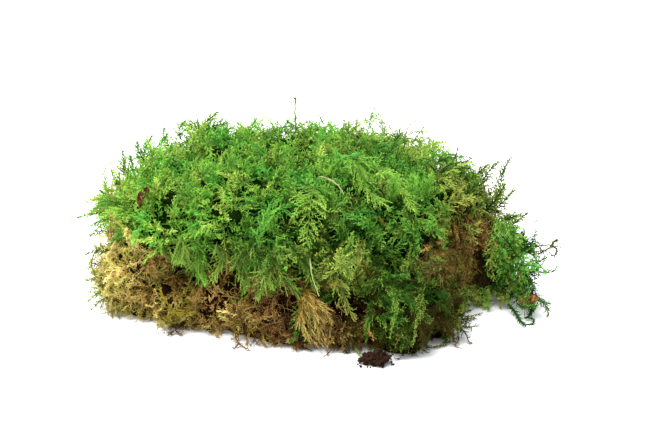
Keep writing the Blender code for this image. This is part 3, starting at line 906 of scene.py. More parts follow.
# At the back branches and leaves are fewer and a little larger: these multiply a frond's measures
farLeaves = {"branches": 0.73, "leafGap": 1.35, "leafLength": 1.15, "leafWidth": 1.2}


def coarser(kind):
    shape = {**frondShape, **kind}
    for key, factor in farLeaves.items():
        shape[key] *= factor
    shape["branches"] = int(shape["branches"])
    # at the back the painted shade at the feet is lighter and the painted light at the tips weaker
    base, byStem, byBranch, byLeaf = shape["heights"]
    shape["heights"] = (base + 0.09, byStem, 0.75 * byBranch, 0.65 * byLeaf)
    return shape


grownPoints = []  # points of every frond that the coats have laid
gapDepth = 1.5    # a gap between fronds is looked for this far under the relief


def isBare(reach):
    # tests whether no frond passes within this reach of the skin's own relief
    points = np.concatenate(grownPoints)
    tree = KDTree(len(points))
    for i, point in enumerate(points):
        tree.insert(point, i)
    tree.balance()

    def test(place):
        up = skin.find_nearest(place)[1]
        return tree.find(place + up * (relief(place) - gapDepth))[2] > reach
    return test


def coat(growths, node, layers, rng, toneOf, share=None, chosen=None, shade=0, far=()):
    # every layer of growth over one node: share says which growth a frond goes to, chosen which roots grow
    for layer in layers:
        roots = rootsOn(node, layer["gap"], rng, layer.get("lowest", 2), layer.get("behind", False))
        wanted = [test for test in (chosen, layer.get("where")) if test]
        roots = [root for root in roots if all(test(root[0]) for test in wanted)]
        if not roots:
            continue
        if layer["kind"] == "tuft":
            spines, ups = raiseTufts(roots, rng, layer["length"], layer["foot"])
        elif "foot" in layer:
            spines, ups = raiseSprigs(roots, rng, layer["length"], layer["foot"], layer.get("lean", 0.9))
        else:
            keys = ("scatter", "turn", "rough", "perks")
            spines, ups = laySpines(roots, rng, layer["length"], layer["depths"],
                                    **{key: layer[key] for key in keys if key in layer})
        clear = np.array([not overOpening(spine) for spine in spines])
        spines, ups = spines[clear], ups[clear]
        if layer["kind"] not in ("under", "deadUnder"):
            grownPoints.append(spines[:, 1:].reshape(-1, 3))
            grownPoints.append((0.5 * (spines[:, 1:] + spines[:, :-1])).reshape(-1, 3))
        middles = spines[:, spines.shape[1] // 2]
        tones = toneOf(middles, rng)
        lights = np.array([paintedLightAt(place) for place in middles])
        lights = lights + rng.normal(shade, layer.get("uneven", 0.06), len(middles))
        kind = {**growthKinds[layer["kind"]], **layer.get("grow", {})}
        where = np.array([share(spine[0]) if share else 0 for spine in spines])
        for sector, growth in enumerate(growths):
            mine = where == sector
            if mine.any():
                shape = coarser(kind) if sector in far else kind
                growFronds(growth, spines[mine], ups[mine], tones[mine], rng, lights[mine], **shape)


# Where the living moss ends and the dead begins, besides the thatch: x, y, z and reach
deadSpots = [
    (-82, -28, 20, 14), (-88, -8, 16, 13), (-70, -38, 25, 11), (-90, 12, 14, 12), (-62, -43, 21, 11),
    (-30, -50, 14, 14), (-8, -62, 14, 14), (10, -66, 14, 13), (-18, -62, 14, 12), (61, -34, 25, 8),
    (64, -30, 33, 7), (48, -46, 36, 6), (38, 46, 64, 4),
]
# Places with a tone of their own: x, y, z, reach and tone
greenSpots = [
    (-43, -40, 52, 10, 0.3), (-22, -54, 44, 9, 0.24), (20, -12, 64, 12, 0.26), (40, -38, 56, 9, 0.44),
    (-58, -38, 44, 10, 0.6), (-40, -46, 36, 9, 0.58), (-30, -44, 55, 7, 0.64), (0, -62, 44, 8, 0.56),
    (25, -60, 46, 10, 0.4), (10, -67, 34, 6, 0.62), (62, -12, 46, 14, 0.76), (74, 0, 38, 14, 0.82),
    (50, 10, 59, 16, 0.5), (66, -18, 14, 14, 0.8), (-66, -20, 52, 14, 0.5), (64, -30, 34, 10, 0.9),
    (50, -58, 21, 6, 0.05), (60, -52, 8, 14, 0.56), (38, 38, 64, 15, 0.7), (-20, 45, 66, 16, 0.4),
    (-76, -20, 44, 10, 0.5), (32, -70, 22, 9, 0.44), (44, -60, 24, 8, 0.6), (50, -50, 40, 14, 0.56),
]
brownSpots = [
    (-61, -42, 29, 10, 0.12), (-55, -49, 10, 8, 0.82), (-43, -51, 19, 7, 0.42), (-79, -37, 24, 10, 0.7),
    (-90, -20, 14, 10, 0.82), (-70, -40, 10, 8, 0.44), (-24, -63, 8, 7, 0.3), (48, -45, 37, 8, 0.2),
    (-10, -68, 8, 6, 0.16), (-12, -64, 16, 6, 0.56),
]


def ownTone(place, tone, spots, weight):
    # draws a tone towards those of the spots that it lies in
    for *spot, own in spots:
        tone += (own - tone) * weight * spotShare(place, *spot)
    return tone


# Moss is older and browner to the right, to the back and near the ground: axis, way, from, over and tone
ageing = [(0, 1, 35, 45, 0.10), (1, 1, 20, 50, 0.06), (2, -1, 42, 16, 0.11)]


def greenTones(base=0.40, patch=0.34, each=0.06):
    # emerald and yellow-green patches a few centimetres across
    def tones(places, rng):
        made = []
        for place in places:
            spot = Vector(place)
            tone = base + patch * ripple(spot, 15, (3.1, 0.4, 9.7)) + 0.16 * ripple(spot, 5, (8.1, 5.4, 2.7))
            for axis, way, start, over, change in ageing:
                tone += change * clamp((spot[axis] - start) * way / over)
            made.append(ownTone(spot, tone, greenSpots, 0.75))
        return np.clip(np.array(made) + rng.normal(0, each, len(made)), 0.10, 0.95)
    return tones


def brownTones(base=0.38, patch=0.26, each=0.08, left=0):
    # umber to gold; the far left is the palest
    def tones(places, rng):
        made = []
        for place in places:
            spot = Vector(place)
            tone = base + patch * ripple(spot, 11, (1.7, 6.2, 4.4)) + left * clamp((-spot.x - 50) / 30)
            made.append(ownTone(spot, tone, brownSpots, 0.8))
        return np.clip(np.array(made) + rng.normal(0, each, len(made)), 0.03, 0.97)
    return tones


# Holes between the fronds where the dark inside shows: x, y, z and reach; they open to the front
openings = [
    (-52.4, -44.6, 22, 6.5), (64.1, -27.6, 35.3, 5.5), (71, -19, 18, 6), (7, -69, 22.5, 4.5),
    (19.1, -67, 17.4, 4.5), (-61.5, -32, 54.5, 3.4), (-12, -71, 6, 4), (-20, -65.5, 7, 4), (-7, -69, 20, 4),
    (-28.4, -56.5, 20, 4), (101.5, -16, 8, 5.5),
]
openingDepth = 14
openingWay = np.array((0, -0.95, 0.31))


def overOpening(spine):
    for x, y, z, reach in openings:
        offset = spine[1:] - (x, y, z)
        forward = np.clip(offset @ openingWay, 0, openingDepth)
        if np.linalg.norm(offset - forward[:, None] * openingWay, axis=1).min() < reach:
            return True
    return False


deadEdge = {"share": 0.45, "ragged": 0.2, "breadth": 6}  # how near to a dead spot, and how uneven its edge


def isDead(place):
    ragged = deadEdge["ragged"] * ripple(place, deadEdge["breadth"])
    return any(spotShare(place, *spot) + ragged > deadEdge["share"] for spot in deadSpots)


# The green cushion, planted in quarters so that no mesh grows too large, with a dead lower edge
cushion = {
    "seed": 11,
    "quarters": ("front_left", "front_right", "back_left", "back_right"),
    "front": 20,  # where the quarters meet, in y and in x
    "middle": -2,
    "bareReach": 3.4,  # a gap wider than this on each side gets filling sprigs
}


def isAlive(place):
    return not isDead(place)


def plantCushion(look):
    rng = np.random.default_rng(look["seed"])

    def quarterOf(place):
        return (2 if place[1] > look["front"] else 0) + (1 if place[0] > look["middle"] else 0)

    quarters = [newGrowth() for _ in look["quarters"]]
    coat(quarters, "moss_cushion", livingCoat, rng, greenTones(), quarterOf, isAlive, far=(2, 3))
    bare = isBare(look["bareReach"])
    coat(quarters, "moss_cushion", fillingCoat, np.random.default_rng(look["seed"] + 1), greenTones(),
         quarterOf, lambda place: isAlive(place) and bare(place), far=(2, 3))
    for name, growth in zip(look["quarters"], quarters):
        standFor(meshObject("cushion_fronds_" + name, growth, greenLeaves), "green_moss", "moss_cushion")
    dead = newGrowth()
    layers = [{**layer, "scatter": 0.6} if "scatter" in layer else layer for layer in deadCoat]
    coat([dead], "moss_cushion", layers, rng, brownTones(0.50, left=0.22), None, isDead)
    standFor(meshObject("cushion_dead_fronds", dead, brownLeaves), "brown_moss", "moss_cushion")


plantCushion(cushion)
print("the green cushion has grown")


# The brown thatch round the foot of the clump, still olive at its right front
thatch = {
    "seed": 21,
    "tones": (0.46, 0.26, 0.10, 0.26),
    "backFrom": 5,    # where its two halves meet, in y
    "oliveFrom": 33,  # it is olive right of this, with an edge this ragged
    "ragged": 4,
    "oliveTo": 30,    # and in front of this
    "oliveTone": 0.66,
    "shade": -0.14,
}


def plantThatch(look):
    rng = np.random.default_rng(look["seed"])

    def isOlive(place):
        edge = look["oliveFrom"] - look["ragged"] * ripple(place, 5)
        return place.x > edge and place.y < look["oliveTo"]

    halves = [newGrowth(), newGrowth()]
    layers = [{**layer, "lowest": 1} for layer in deadCoat]
    coat(halves, "thatch_mat", layers, rng, brownTones(*look["tones"]),
         lambda place: int(place[1] > look["backFrom"]), lambda place: not isOlive(place), far=(1,))
    for name, growth in zip(("front", "back"), halves):
        standFor(meshObject("thatch_fronds_" + name, growth, brownLeaves), "brown_moss", "thatch_mat")
    olive = newGrowth()
    coat([olive], "thatch_mat", oliveCoat, rng, greenTones(look["oliveTone"], 0.2), None, isOlive,
         look["shade"])
    standFor(meshObject("thatch_fronds_olive", olive, greenLeaves), "dark_moss", "thatch_mat")


plantThatch(thatch)
print("the thatch is laid")


# Tufts and wads against the side of the clump
# The first paints deeper shade at the feet and brighter light at the tips, and varies more from frond to
# frond; the second paints weaker shade and keeps its colours more even
deepPaintedShade = dict(uneven=0.34, grow=dict(lightSpread=0.22, heights=(0, 0.26, 0.40, 0.28)))
softPaintedShade = dict(uneven=0.09, grow=dict(lightSpread=0.08, toneSpread=0.04, heights=(0.18, 0.20, 0.26, 0.20)))
wads = {
    # node: seed, slot, living or dead, tones, painted light or painted shade, changes to its layers
    "front_green_lobe": (31, "green_moss", "living", greenTones(0.66), -0.25, dict(scatter=0.5, uneven=0.12)),
    "olive_lobe": (32, "dark_moss", "living", greenTones(0.76, 0.3), -0.24,
                   dict(scatter=0.9, uneven=0.12, length=(7, 13))),
    "ochre_wad": (33, "brown_moss", "dead", brownTones(0.70, 0.20, 0.07), 0.08, softPaintedShade),
    "yellow_wad": (34, "brown_moss", "dead", brownTones(0.82, 0.08, 0.04), 0, {}),
    "pale_wad": (35, "brown_moss", "dead", brownTones(0.45, 0.1, 0.05), 0.06, {}),
    "front_brown_wad": (36, "brown_moss", "dead", brownTones(0.42, 0.44, 0.14), 0.12, deepPaintedShade),
    "centre_brown_wad": (37, "brown_moss", "dead", brownTones(0.44, 0.34, 0.14), 0.10, deepPaintedShade),
    "root_patch": (38, "rootlet", "dead", brownTones(0.05, 0.1, 0.04), -0.1, {}),
}
wadCoats = {
    "living": [
        dict(kind="under", gap=7, length=(12, 20), depths=(-8, -4, -3, -3), scatter=1),
        dict(kind="frond", gap=4.4, length=(12, 22), depths=(-6, -1.2, -0.2, -0.6)),
        dict(kind="sprig", gap=4, length=(6, 10), foot=-5.5),
        dict(kind="sprig", gap=4, length=(5, 9), foot=-2.5, where=atFoot),
    ],
    "dead": [
        dict(kind="deadUnder", gap=6, length=(9, 16), depths=(-5, -2.5, -2, -3), scatter=1.6, rough=0.9),
        dict(kind="deadFrond", gap=4.8, length=(9, 17), depths=(-4, -0.6, 0.4, -1), scatter=1.2, rough=0.5,
            turn=3.2, perks=2.4, uneven=0.11),
        dict(kind="deadSprig", gap=3.4, length=(5, 8.5), foot=-4, uneven=0.12),
        dict(kind="deadSprig", gap=3.4, length=(4, 7), foot=-2, where=atFoot),
    ],
}
wadGreenFrom = 34  # a dead wad that reaches higher is still green above this


def plantWad(node, seed, slot, life, tones, shade, changes):
    rng = np.random.default_rng(seed)
    growths = [newGrowth(), newGrowth()]
    layers = [{**layer, "lowest": 1, **changes} for layer in wadCoats[life]]

    def isGreen(place):
        return int(life == "living" or place[2] + 4 * ripple(place, 6) > wadGreenFrom)

    coat(growths, node, layers, rng, tones, isGreen, shade=shade)
    for growth, name, leaves in zip(growths, ("_strands", "_fronds"), (brownLeaves, greenLeaves)):
        if growth["count"]:
            standFor(meshObject(node + name, growth, leaves), slot, node)


for node, details in wads.items():
    plantWad(node, *details)


# The right tuft hangs open: single sprigs and fronds with daylight between them
openTuft = {
    "seed": 41,
    "behindShade": -0.45,  # how dark the strands behind it are
    "layers": [
        dict(kind="frond", gap=6.4, length=(13, 24), depths=(-9, -4, -1, 0.5), scatter=1.2, rough=1,
             turn=1.6, uneven=0.14,
             grow=dict(branches=22, branchLength=7.5, curl=0.7, leafAngle=38, leafLength=1.4, leafGap=0.7,
                       leafWidth=0.6, axis=0.55, stem=0.7, heights=(-0.04, 0.16, 0.26, 0.22))),
        dict(kind="sprig", gap=6.4, length=(8, 14), foot=-8, uneven=0.14,
             grow=dict(branches=12, curl=0.7, leafAngle=36, leafWidth=0.55, axis=0.55,
                       heights=(-0.04, 0.25, 0.24, 0.22))),
    ],
}


def plantOpenTuft(look):
    rng = np.random.default_rng(look["seed"])
    growth = newGrowth()
    coat([growth], "right_tuft", look["layers"], rng, greenTones(0.06, 0.16, 0.06), shade=-0.08)
    standFor(meshObject("right_tuft_fronds", growth, greenLeaves), "dark_moss", "right_tuft")
    behind = newGrowth()
    for node in ("moss_cushion", "thatch_mat"):
        coat([behind], node, hiddenCoat, rng, brownTones(0.14, 0.1), shade=look["behindShade"])
    standFor(meshObject("strands_behind_tuft", behind, brownLeaves), "brown_moss", "thatch_mat")


plantOpenTuft(openTuft)
print("the tufts and wads have grown")


# Single fronds that stand clear of the clump
def smoothLine(points, stations):
    # a curve through the points, evenly divided
    table = np.array(points, float)
    table = np.concatenate([[2 * table[0] - table[1]], table, [2 * table[-1] - table[-2]]])
    made = []
    for i in range(1, len(table) - 2):
        a, b, c, d = table[i - 1:i + 3]
        for t in np.linspace(0, 1, 12, endpoint=False):
            made.append(0.5 * (2 * b + (c - a) * t + (2 * a - 5 * b + 4 * c - d) * t ** 2
                               + (3 * b - a - 3 * c + d) * t ** 3))
    made = np.array(made + [table[-2]])
    run = np.concatenate([[0], np.linalg.norm(np.diff(made, axis=0), axis=1).cumsum()])
    even = np.linspace(0, run[-1], stations)
    return np.stack([np.interp(even, run, made[:, axis]) for axis in range(3)], axis=1)


front = (0, -1, 0.25)
seeds = {"single": 51, "showy": 52, "curtains": 55, "wires": 61}
sturdy = dict(leafWidth=0.55, axis=0.55, stem=0.8)  # fronds seen alone against the light
skyline = dict(leafWidth=0.6, axis=0.6, stem=0.9)
wispy = dict(branches=18, leafWidth=0.5, axis=0.5, curl=0.6)
drooping = dict(branches=56, branchLength=9.5, angles=(42, 12), curl=0.28, leafLength=1.2, leafWidth=0.32,
                axis=0.34, leafAngle=22)
ochre = dict(branches=30, branchLength=5, leafGap=1.3, leafWidth=0.28, axis=0.3, leafAngle=18,
             hook=(1.4, 0.8), curl=0.6)
singleFronds = {
    # node: slot, flat side, tone, changes to the frond, routes
    "hanging_frond": ("green_moss", front, 0.64, dict(branches=34, branchLength=7.5, angles=(44, 20),
        leafAngle=26, leafWidth=0.34, axis=0.34, heights=(0.02, 0.18, 0.36, 0.28)), [
        [(8.4, -66.6, 36), (12.4, -70.6, 29), (14.4, -71.6, 23), (17.9, -73.1, 16)]]),
    "left_stray_frond": ("green_moss", (0, -0.5, 0.9), 0.46, dict(sturdy, branches=26, branchLength=6.5,
        heights=(0.08, 0.2, 0.3, 0.26)), [
        [(-84.1, 7.9, 37), (-92.1, 7.9, 36), (-99.1, 7.9, 33.6), (-107.2, 7.9, 30.4)],
        [(-82, 4, 38), (-90, 3, 39), (-98, 2, 36)],
        [(-84, 14, 36), (-92, 15, 38.5), (-99, 16, 38)]]),
    "left_arched_frond": ("green_moss", (-1, -0.6, 0), 0.6, dict(sturdy, branches=26, branchLength=5,
        heights=(0.06, 0.2, 0.34, 0.26)), [
        [(-81.1, -18.1, 25), (-89.6, -21.1, 27.3), (-93.6, -22.1, 23), (-92.7, -22.1, 16),
         (-89.1, -23.1, 10.5)],
        [(-84, -20, 18), (-91, -22, 14.5), (-96.5, -22, 13.5)],
        [(-84, -22, 12), (-90.5, -24, 9), (-96, -25, 4.5)]]),
    "upright_frond_left": ("green_moss", (-0.5, -0.8, 0), 0.4, dict(skyline, branches=20,
        branchLength=6.5), [
        [(-82.1, 24.9, 44), (-84.5, 25.9, 51), (-85.2, 25.9, 58.5)],
        [(-80, 24.9, 44), (-80.6, 25.9, 50), (-82, 25.9, 55.5)]]),
    "upright_frond_right": ("green_moss", front, 0.38, dict(skyline, branches=22, branchLength=6), [
        [(-78.1, 38.9, 46), (-76.7, 39.9, 54), (-73.1, 39.9, 61)],
        [(-78.1, 36, 44), (-73, 36, 53.5), (-66, 36, 62)]]),
    "peak_frond": ("green_moss", front, 0.46, dict(skyline, branches=22, branchLength=7.5, stem=1,
        heights=(0.05, 0.2, 0.34, 0.3)), [
        [(-56.1, 56.9, 52), (-51.1, 57.9, 61.5), (-43.6, 57.9, 68.1)],
        [(-52, 54, 56), (-46, 54, 62), (-39, 54, 63.5)],
        [(-50, 56, 54), (-54, 56, 60), (-59, 56, 63)]]),
    "corner_frond": ("green_moss", front, 0.6, dict(skyline, branches=30, branchLength=6, curl=0.3,
        leafWidth=0.55, heights=(-0.08, 0.16, 0.36, 0.28)), [
        [(80.9, 7.9, 38), (83.7, 7.9, 47.7), (84.6, 7.9, 54.1), (88, 7.9, 60)],
        [(72, 6, 42), (77, 7, 52), (82.6, 8, 58)],
        [(70, 8, 44), (73, 8, 52), (78, 8, 56.4)],
        [(76, 2, 36), (81.5, 0, 44), (85, 2, 49.5)],
        [(76, 6, 33), (84, 4, 40), (90, 8, 44.9)],
        [(74, 0, 30), (84, -2, 34), (93, 0, 36.5)],
        [(76, 0, 28), (86, -3, 31), (94.5, -4, 38)]]),
    "knotted_stem": ("stem", front, 0.72, dict(branches=16, branchLength=1.8, leafGap=0.5, leafLength=1.1,
        leafAngle=40, leafWidth=0.5, stem=1, curl=0.8, heights=(-0.1, 0.2, 0.26, 0.24)), [
        [(89.9, -17.1, 26.5), (101.2, -18.1, 28.2), (104.9, -18.1, 27.8), (107.6, -18.1, 27)],
        [(102.9, -18.1, 28), (106.2, -17.5, 25.9), (104.7, -18.7, 23.2), (102.3, -19.5, 25.3)],
        [(103.5, -18.1, 28), (104.6, -17.8, 29.6), (106.4, -17.6, 30.2)],
        [(98, -18, 24), (101.5, -18.2, 26.2), (104.5, -18.3, 28)]]),
    "ground_curl": ("green_moss", (0, -0.3, 1), 0.34, dict(branches=60, branchLength=2.3, leafGap=0.5,
        leafLength=1.2, leafWidth=0.55, leafAngle=38, stem=1.3, axis=0.6, curl=0.7,
        heights=(-0.2, 0.15, 0.22, 0.26)), [
        [(85, -26, 4), (87.6, -31, 2), (88.6, -38, 1.5), (89.8, -43.4, 1.5), (92.4, -44, 1.6),
         (94.4, -40, 1.8), (93.6, -35.6, 1.6), (90.6, -35, 1.5)],
        [(94.6, -26, 6), (94.9, -29.5, 4), (93.2, -33.5, 2), (91.4, -36, 1.8)]]),
    "folded_frond": ("brown_moss", front, 0.56, dict(branches=40, branchLength=5, angles=(26, 8),
        leafAngle=15, hook=(0.35, 0.3), leafWidth=0.3, leafLength=1.4, axis=0.32, curl=0.12,
        heights=(0, 0.25, 0.38, 0.27), lightSpread=0.24, toneSpread=0.06), [
        [(-4.5, -64.5, 25), (-2.5, -70, 21), (-1, -72, 15), (2, -72, 8), (6, -71, 3.5)],
        [(-2, -64.5, 26), (2, -70, 23.5), (5.5, -72, 18), (6, -72, 11), (8, -71, 4)],
        [(-4, -65, 21), (-3.8, -70, 16), (-1.5, -72, 10), (3.5, -72, 4)],
        [(-1, -66, 23), (5, -69, 20), (8.5, -70.5, 14), (8, -71, 8)],
        [(-3, -65, 24.5), (-0.5, -70.5, 22), (2, -72.5, 16.5), (4, -72.5, 9), (7, -71.5, 3.5)],
        [(-2.5, -65, 25), (0.8, -70.5, 22.5), (3.6, -72.5, 17), (5, -72.5, 10), (7.5, -71.5, 3.8)]]),
}
# Fronds that stand out at the front of the cushion: flat side, tone, changes, routes
showyFronds = {
    "ladder_frond": ((0, -0.75, 0.65), 0.5, dict(branches=26, branchLength=11, angles=(66, 46),
        leafAngle=40, leafLength=1.7, leafGap=0.7, curl=0.15, hook=(0.6, 0.3), lift=(0.02, 0.12),
        heights=(0.22, 0.16, 0.34, 0.26)), [
        [(2.6, -47, 64), (1.6, -55, 61), (0.2, -63, 55.5), (-1.4, -69, 46.5)]]),
    "curled_frond": ((-0.5, -0.8, 0.3), 0.28, dict(branches=36, branchLength=7, angles=(50, 30),
        heights=(0.3, 0.15, 0.32, 0.2)), [
        [(-18.5, -62.5, 43), (-17.5, -62, 50), (-13.5, -59, 56), (-9, -60.5, 57.5), (-6, -63, 54)]]),
    "long_plumes": ((0.1, -0.4, 0.9), 0.46, dict(branches=44, branchLength=10, angles=(50, 24),
        heights=(0.22, 0.18, 0.36, 0.26)), [
        [(13.7, -32, 67.5), (21.3, -47, 64.5), (31.6, -56.5, 55.5)],
        [(28, -30, 65), (36, -44, 61.5), (42, -52, 53)]]),
    "brush_fronds": (front, 0.4, dict(branches=34, branchLength=9, angles=(30, 10),
        heights=(0.15, 0.2, 0.36, 0.26)), [
        [(33.7, -41, 54), (33.9, -43.5, 60.5), (34.5, -44, 66)],
        [(41.3, -37.5, 52), (41.8, -39, 59), (42.5, -39, 64.5)],
        [(48.1, -28.5, 50), (48.9, -30, 56.5), (50, -30, 61.5)]]),
    "star_frond": ((0, -1, 0.3), 0.62, dict(branches=18, branchLength=3, angles=(60, 40), leafAngle=22,
        hook=(0.2, 0.1), leafLength=1.8, leafWidth=0.5, curl=0.1, lift=(0, 0.08),
        heights=(0.17, 0.15, 0.3, 0.24)), [
        [(18, -67.5, 40), (14, -70.5, 38.6), (7, -71.5, 38.4)],
        [(12.8, -69, 38), (12.2, -71.5, 41), (11.8, -71.5, 45)],
        [(12.8, -69.5, 39), (14.5, -71.5, 36.5), (16.5, -71.5, 33.5)]]),
    "lobe_fronds": (front, 0.52, dict(branches=44, branchLength=5, angles=(40, 16), leafLength=1.3,
        leafWidth=0.34, axis=0.34, curl=0.35, heights=(0, 0.15, 0.36, 0.26)), [
        [(33, -70, 27), (34, -77, 22), (32, -79.5, 13)],
        [(44, -64, 26), (43, -69, 18), (40, -71.5, 9)],
        [(24, -70, 24), (22, -75, 17), (22.5, -77, 8)]]),
    "round_plumes": ((0, -0.5, 0.9), 0.28, dict(branches=34, branchLength=7, angles=(40, 20),
        heights=(0.25, 0.2, 0.34, 0.2)), [
        [(18, -20, 60), (14, -27, 67.5), (10, -33, 66.5)],
        [(18, -20, 60), (19, -28, 68), (20, -34, 66)],
        [(18, -20, 60), (24, -26, 67.5), (28, -31, 65.5)]]),
    "drooping_fronds": ((0, -1, 0.4), 0.55, dict(drooping, lift=(0.1, 0.3), lightSpread=0.12, toneSpread=0.05,
        heights=(-0.14, 0.2, 0.44, 0.28)), [
        [(-30, -56, 43), (-27, -62, 37), (-25.5, -64.5, 29), (-27, -64.5, 24)],
        [(-23, -58, 42), (-18, -64, 35), (-13, -66.5, 28)],
        [(-14, -60, 40), (-11, -66, 34), (-6.5, -68.5, 29), (-4, -67.5, 23)],
        [(-20, -58, 46), (-24, -63, 41), (-31, -65, 35)],
        [(-8, -62, 44), (-4, -67, 40), (1, -69, 33), (2, -68.5, 27)],
        [(-12, -63, 36), (-17, -66.5, 30), (-20, -66.5, 23)]]),
    "left_drooping_fronds": ((0, -1, 0.4), 0.5, dict(drooping, heights=(0.06, 0.2, 0.38, 0.28)), [
        [(-37, -53, 42), (-36, -59.5, 36), (-38.5, -61, 28)],
        [(-46, -50, 38), (-45, -56, 32), (-42, -57.5, 25)],
        [(-52, -46, 42), (-51, -52, 36), (-49, -54, 30)]]),
    "edge_wisps": ((-0.3, -0.9, 0.2), 0.66, dict(wispy, branchLength=4.2,
        heights=(-0.04, 0.2, 0.34, 0.26)), [
        [(-84, -18, 34), (-90, -20, 35), (-95, -21, 33)],
        [(-84, -20, 26), (-91, -21, 27), (-97, -20, 24.5)],
        [(-84, -16, 20), (-91, -18, 20), (-96.5, -18, 17)],
        [(-82, -22, 14), (-89, -26, 13), (-95, -27, 10)],
        [(-82, -24, 9), (-89, -28, 7), (-94, -29, 2.5)],
        [(-84, -10, 38), (-91, -10, 40), (-96, -10, 39)]]),
    "bark_sprigs": ((0.2, -0.7, 0.6), 0.4, dict(wispy, branchLength=3.6, heights=(-0.1, 0.2, 0.3, 0.26)), [
        [(86, -30, 12), (90, -36, 11), (92, -37.5, 8)],
        [(96, -28, 10), (96.5, -34.5, 9), (94.5, -37.5, 6)],
        [(88, -30, 6), (90.5, -36.5, 6.5), (94.5, -38, 8.5)],
        [(94, -26, 16), (93, -33, 14.5), (91, -36.5, 11.5)],
        [(97, -30, 8), (100.5, -33.5, 5.5), (101, -35, 2)]]),
    "scrap_sprigs": ((-0.5, -0.7, 0.4), 0.46, dict(branches=18, branchLength=3.2,
        heights=(0.1, 0.3, 0.36, 0.3)), [
        [(-64, -27, 50), (-67, -30.5, 53), (-69.5, -31.5, 56.5)],
        [(-62, -24, 53), (-65, -26, 55.5), (-67.5, -28, 58.5)],
        [(-67, -24, 51), (-69.5, -27, 54), (-71.5, -29.5, 55.5)],
        [(-64, -26, 51), (-66.5, -28.5, 54), (-67, -30, 57)],
        [(-66, -28, 47), (-68.5, -31, 49.5), (-70, -33, 51.5)],
        [(-70, -26, 50), (-72.5, -29.5, 53.5), (-71.5, -31, 56)],
        [(-73, -29, 46), (-74, -32.5, 49), (-71.5, -34.5, 51.5)]]),
    "shoulder_sprigs": ((-0.4, -0.8, 0.3), 0.42, dict(branches=20, branchLength=5.5, angles=(52, 26),
        curl=0.4, heights=(0.1, 0.2, 0.34, 0.28)), [
        [(-84, 14, 42), (-87, 14, 47), (-88.5, 14, 52)],
        [(-84, 2, 40), (-88.5, 1, 44), (-92, 0, 47)],
        [(-76, 30, 52), (-78.5, 30, 57), (-79, 30, 61)],
        [(-66, 40, 56), (-68, 40, 61), (-67, 40, 65)],
        [(-60, 44, 58), (-61, 44, 63), (-58, 44, 67)],
        [(-82, 20, 46), (-84, 20, 51), (-83, 20, 56)],
        [(-80, -6, 41), (-88, -7, 43), (-94, -8, 41)],
        [(-80, -14, 38), (-88.5, -16, 39), (-94.5, -17, 36.5)],
        [(-82, 3, 38), (-89.5, 2, 40.5), (-95.5, 1, 37.5)],
        [(-80, -12, 44), (-87, -13, 46.5), (-91.5, -14, 45.5)]]),
}
# These stand, and the others lie on the cushion
standing = ("brush_fronds", "edge_wisps", "bark_sprigs", "scrap_sprigs", "shoulder_sprigs")
lieOver = 2.2  # how far over the relief they lie


def restOnSkin(line, over):
    # each point goes straight back from the camera to the skin, and stands this far over it
    eye = cameraLine(cameraSetup)[1]
    made = []
    for point in line:
        hit, normal, _, _ = skin.ray_cast(eye, (Vector(point) - eye).normalized())
        if hit is not None and (hit - Vector(point)).length < 30:
            point = hit + normal * (over + relief(hit))
        made.append(point)
    made = np.array(made)
    made[1:-1] = 0.25 * made[:-2] + 0.5 * made[1:-1] + 0.25 * made[2:]
    return made


def growOn(growth, routes, flat, tone, rng, changes, over=None):
    for route in routes:
        spine = smoothLine(route, 10)[None]
        if over is not None:
            spine = restOnSkin(spine[0], over)[None]
        ups = np.broadcast_to(unit(np.array(flat) + rng.normal(0, 0.12, 3)), spine.shape)
        length = np.linalg.norm(np.diff(spine[0], axis=0), axis=1).sum()
        tones = np.array([tone + rng.normal(0, 0.03)])
        growFronds(growth, spine, ups, tones, rng, **{"full": length, "bareFoot": 0.02, **changes})


def growSingleFronds(table):
    rng = np.random.default_rng(seeds["single"])
    for node, (slot, flat, tone, changes, routes) in table.items():
        growth = newGrowth()
        growOn(growth, routes, flat, tone, rng, changes)
        leaves = brownLeaves if slot == "brown_moss" else greenLeaves
        standFor(meshObject(node + "_leaves", growth, leaves), slot, node)


def growShowyFronds(table):
    rng = np.random.default_rng(seeds["showy"])
    for name, (flat, tone, changes, routes) in table.items():
        growth = newGrowth()
        growOn(growth, routes, flat, tone, rng, changes, None if name in standing else lieOver)
        standFor(meshObject(name, growth, greenLeaves), "green_moss", "moss_cushion")


growSingleFronds(singleFronds)
growShowyFronds(showyFronds)
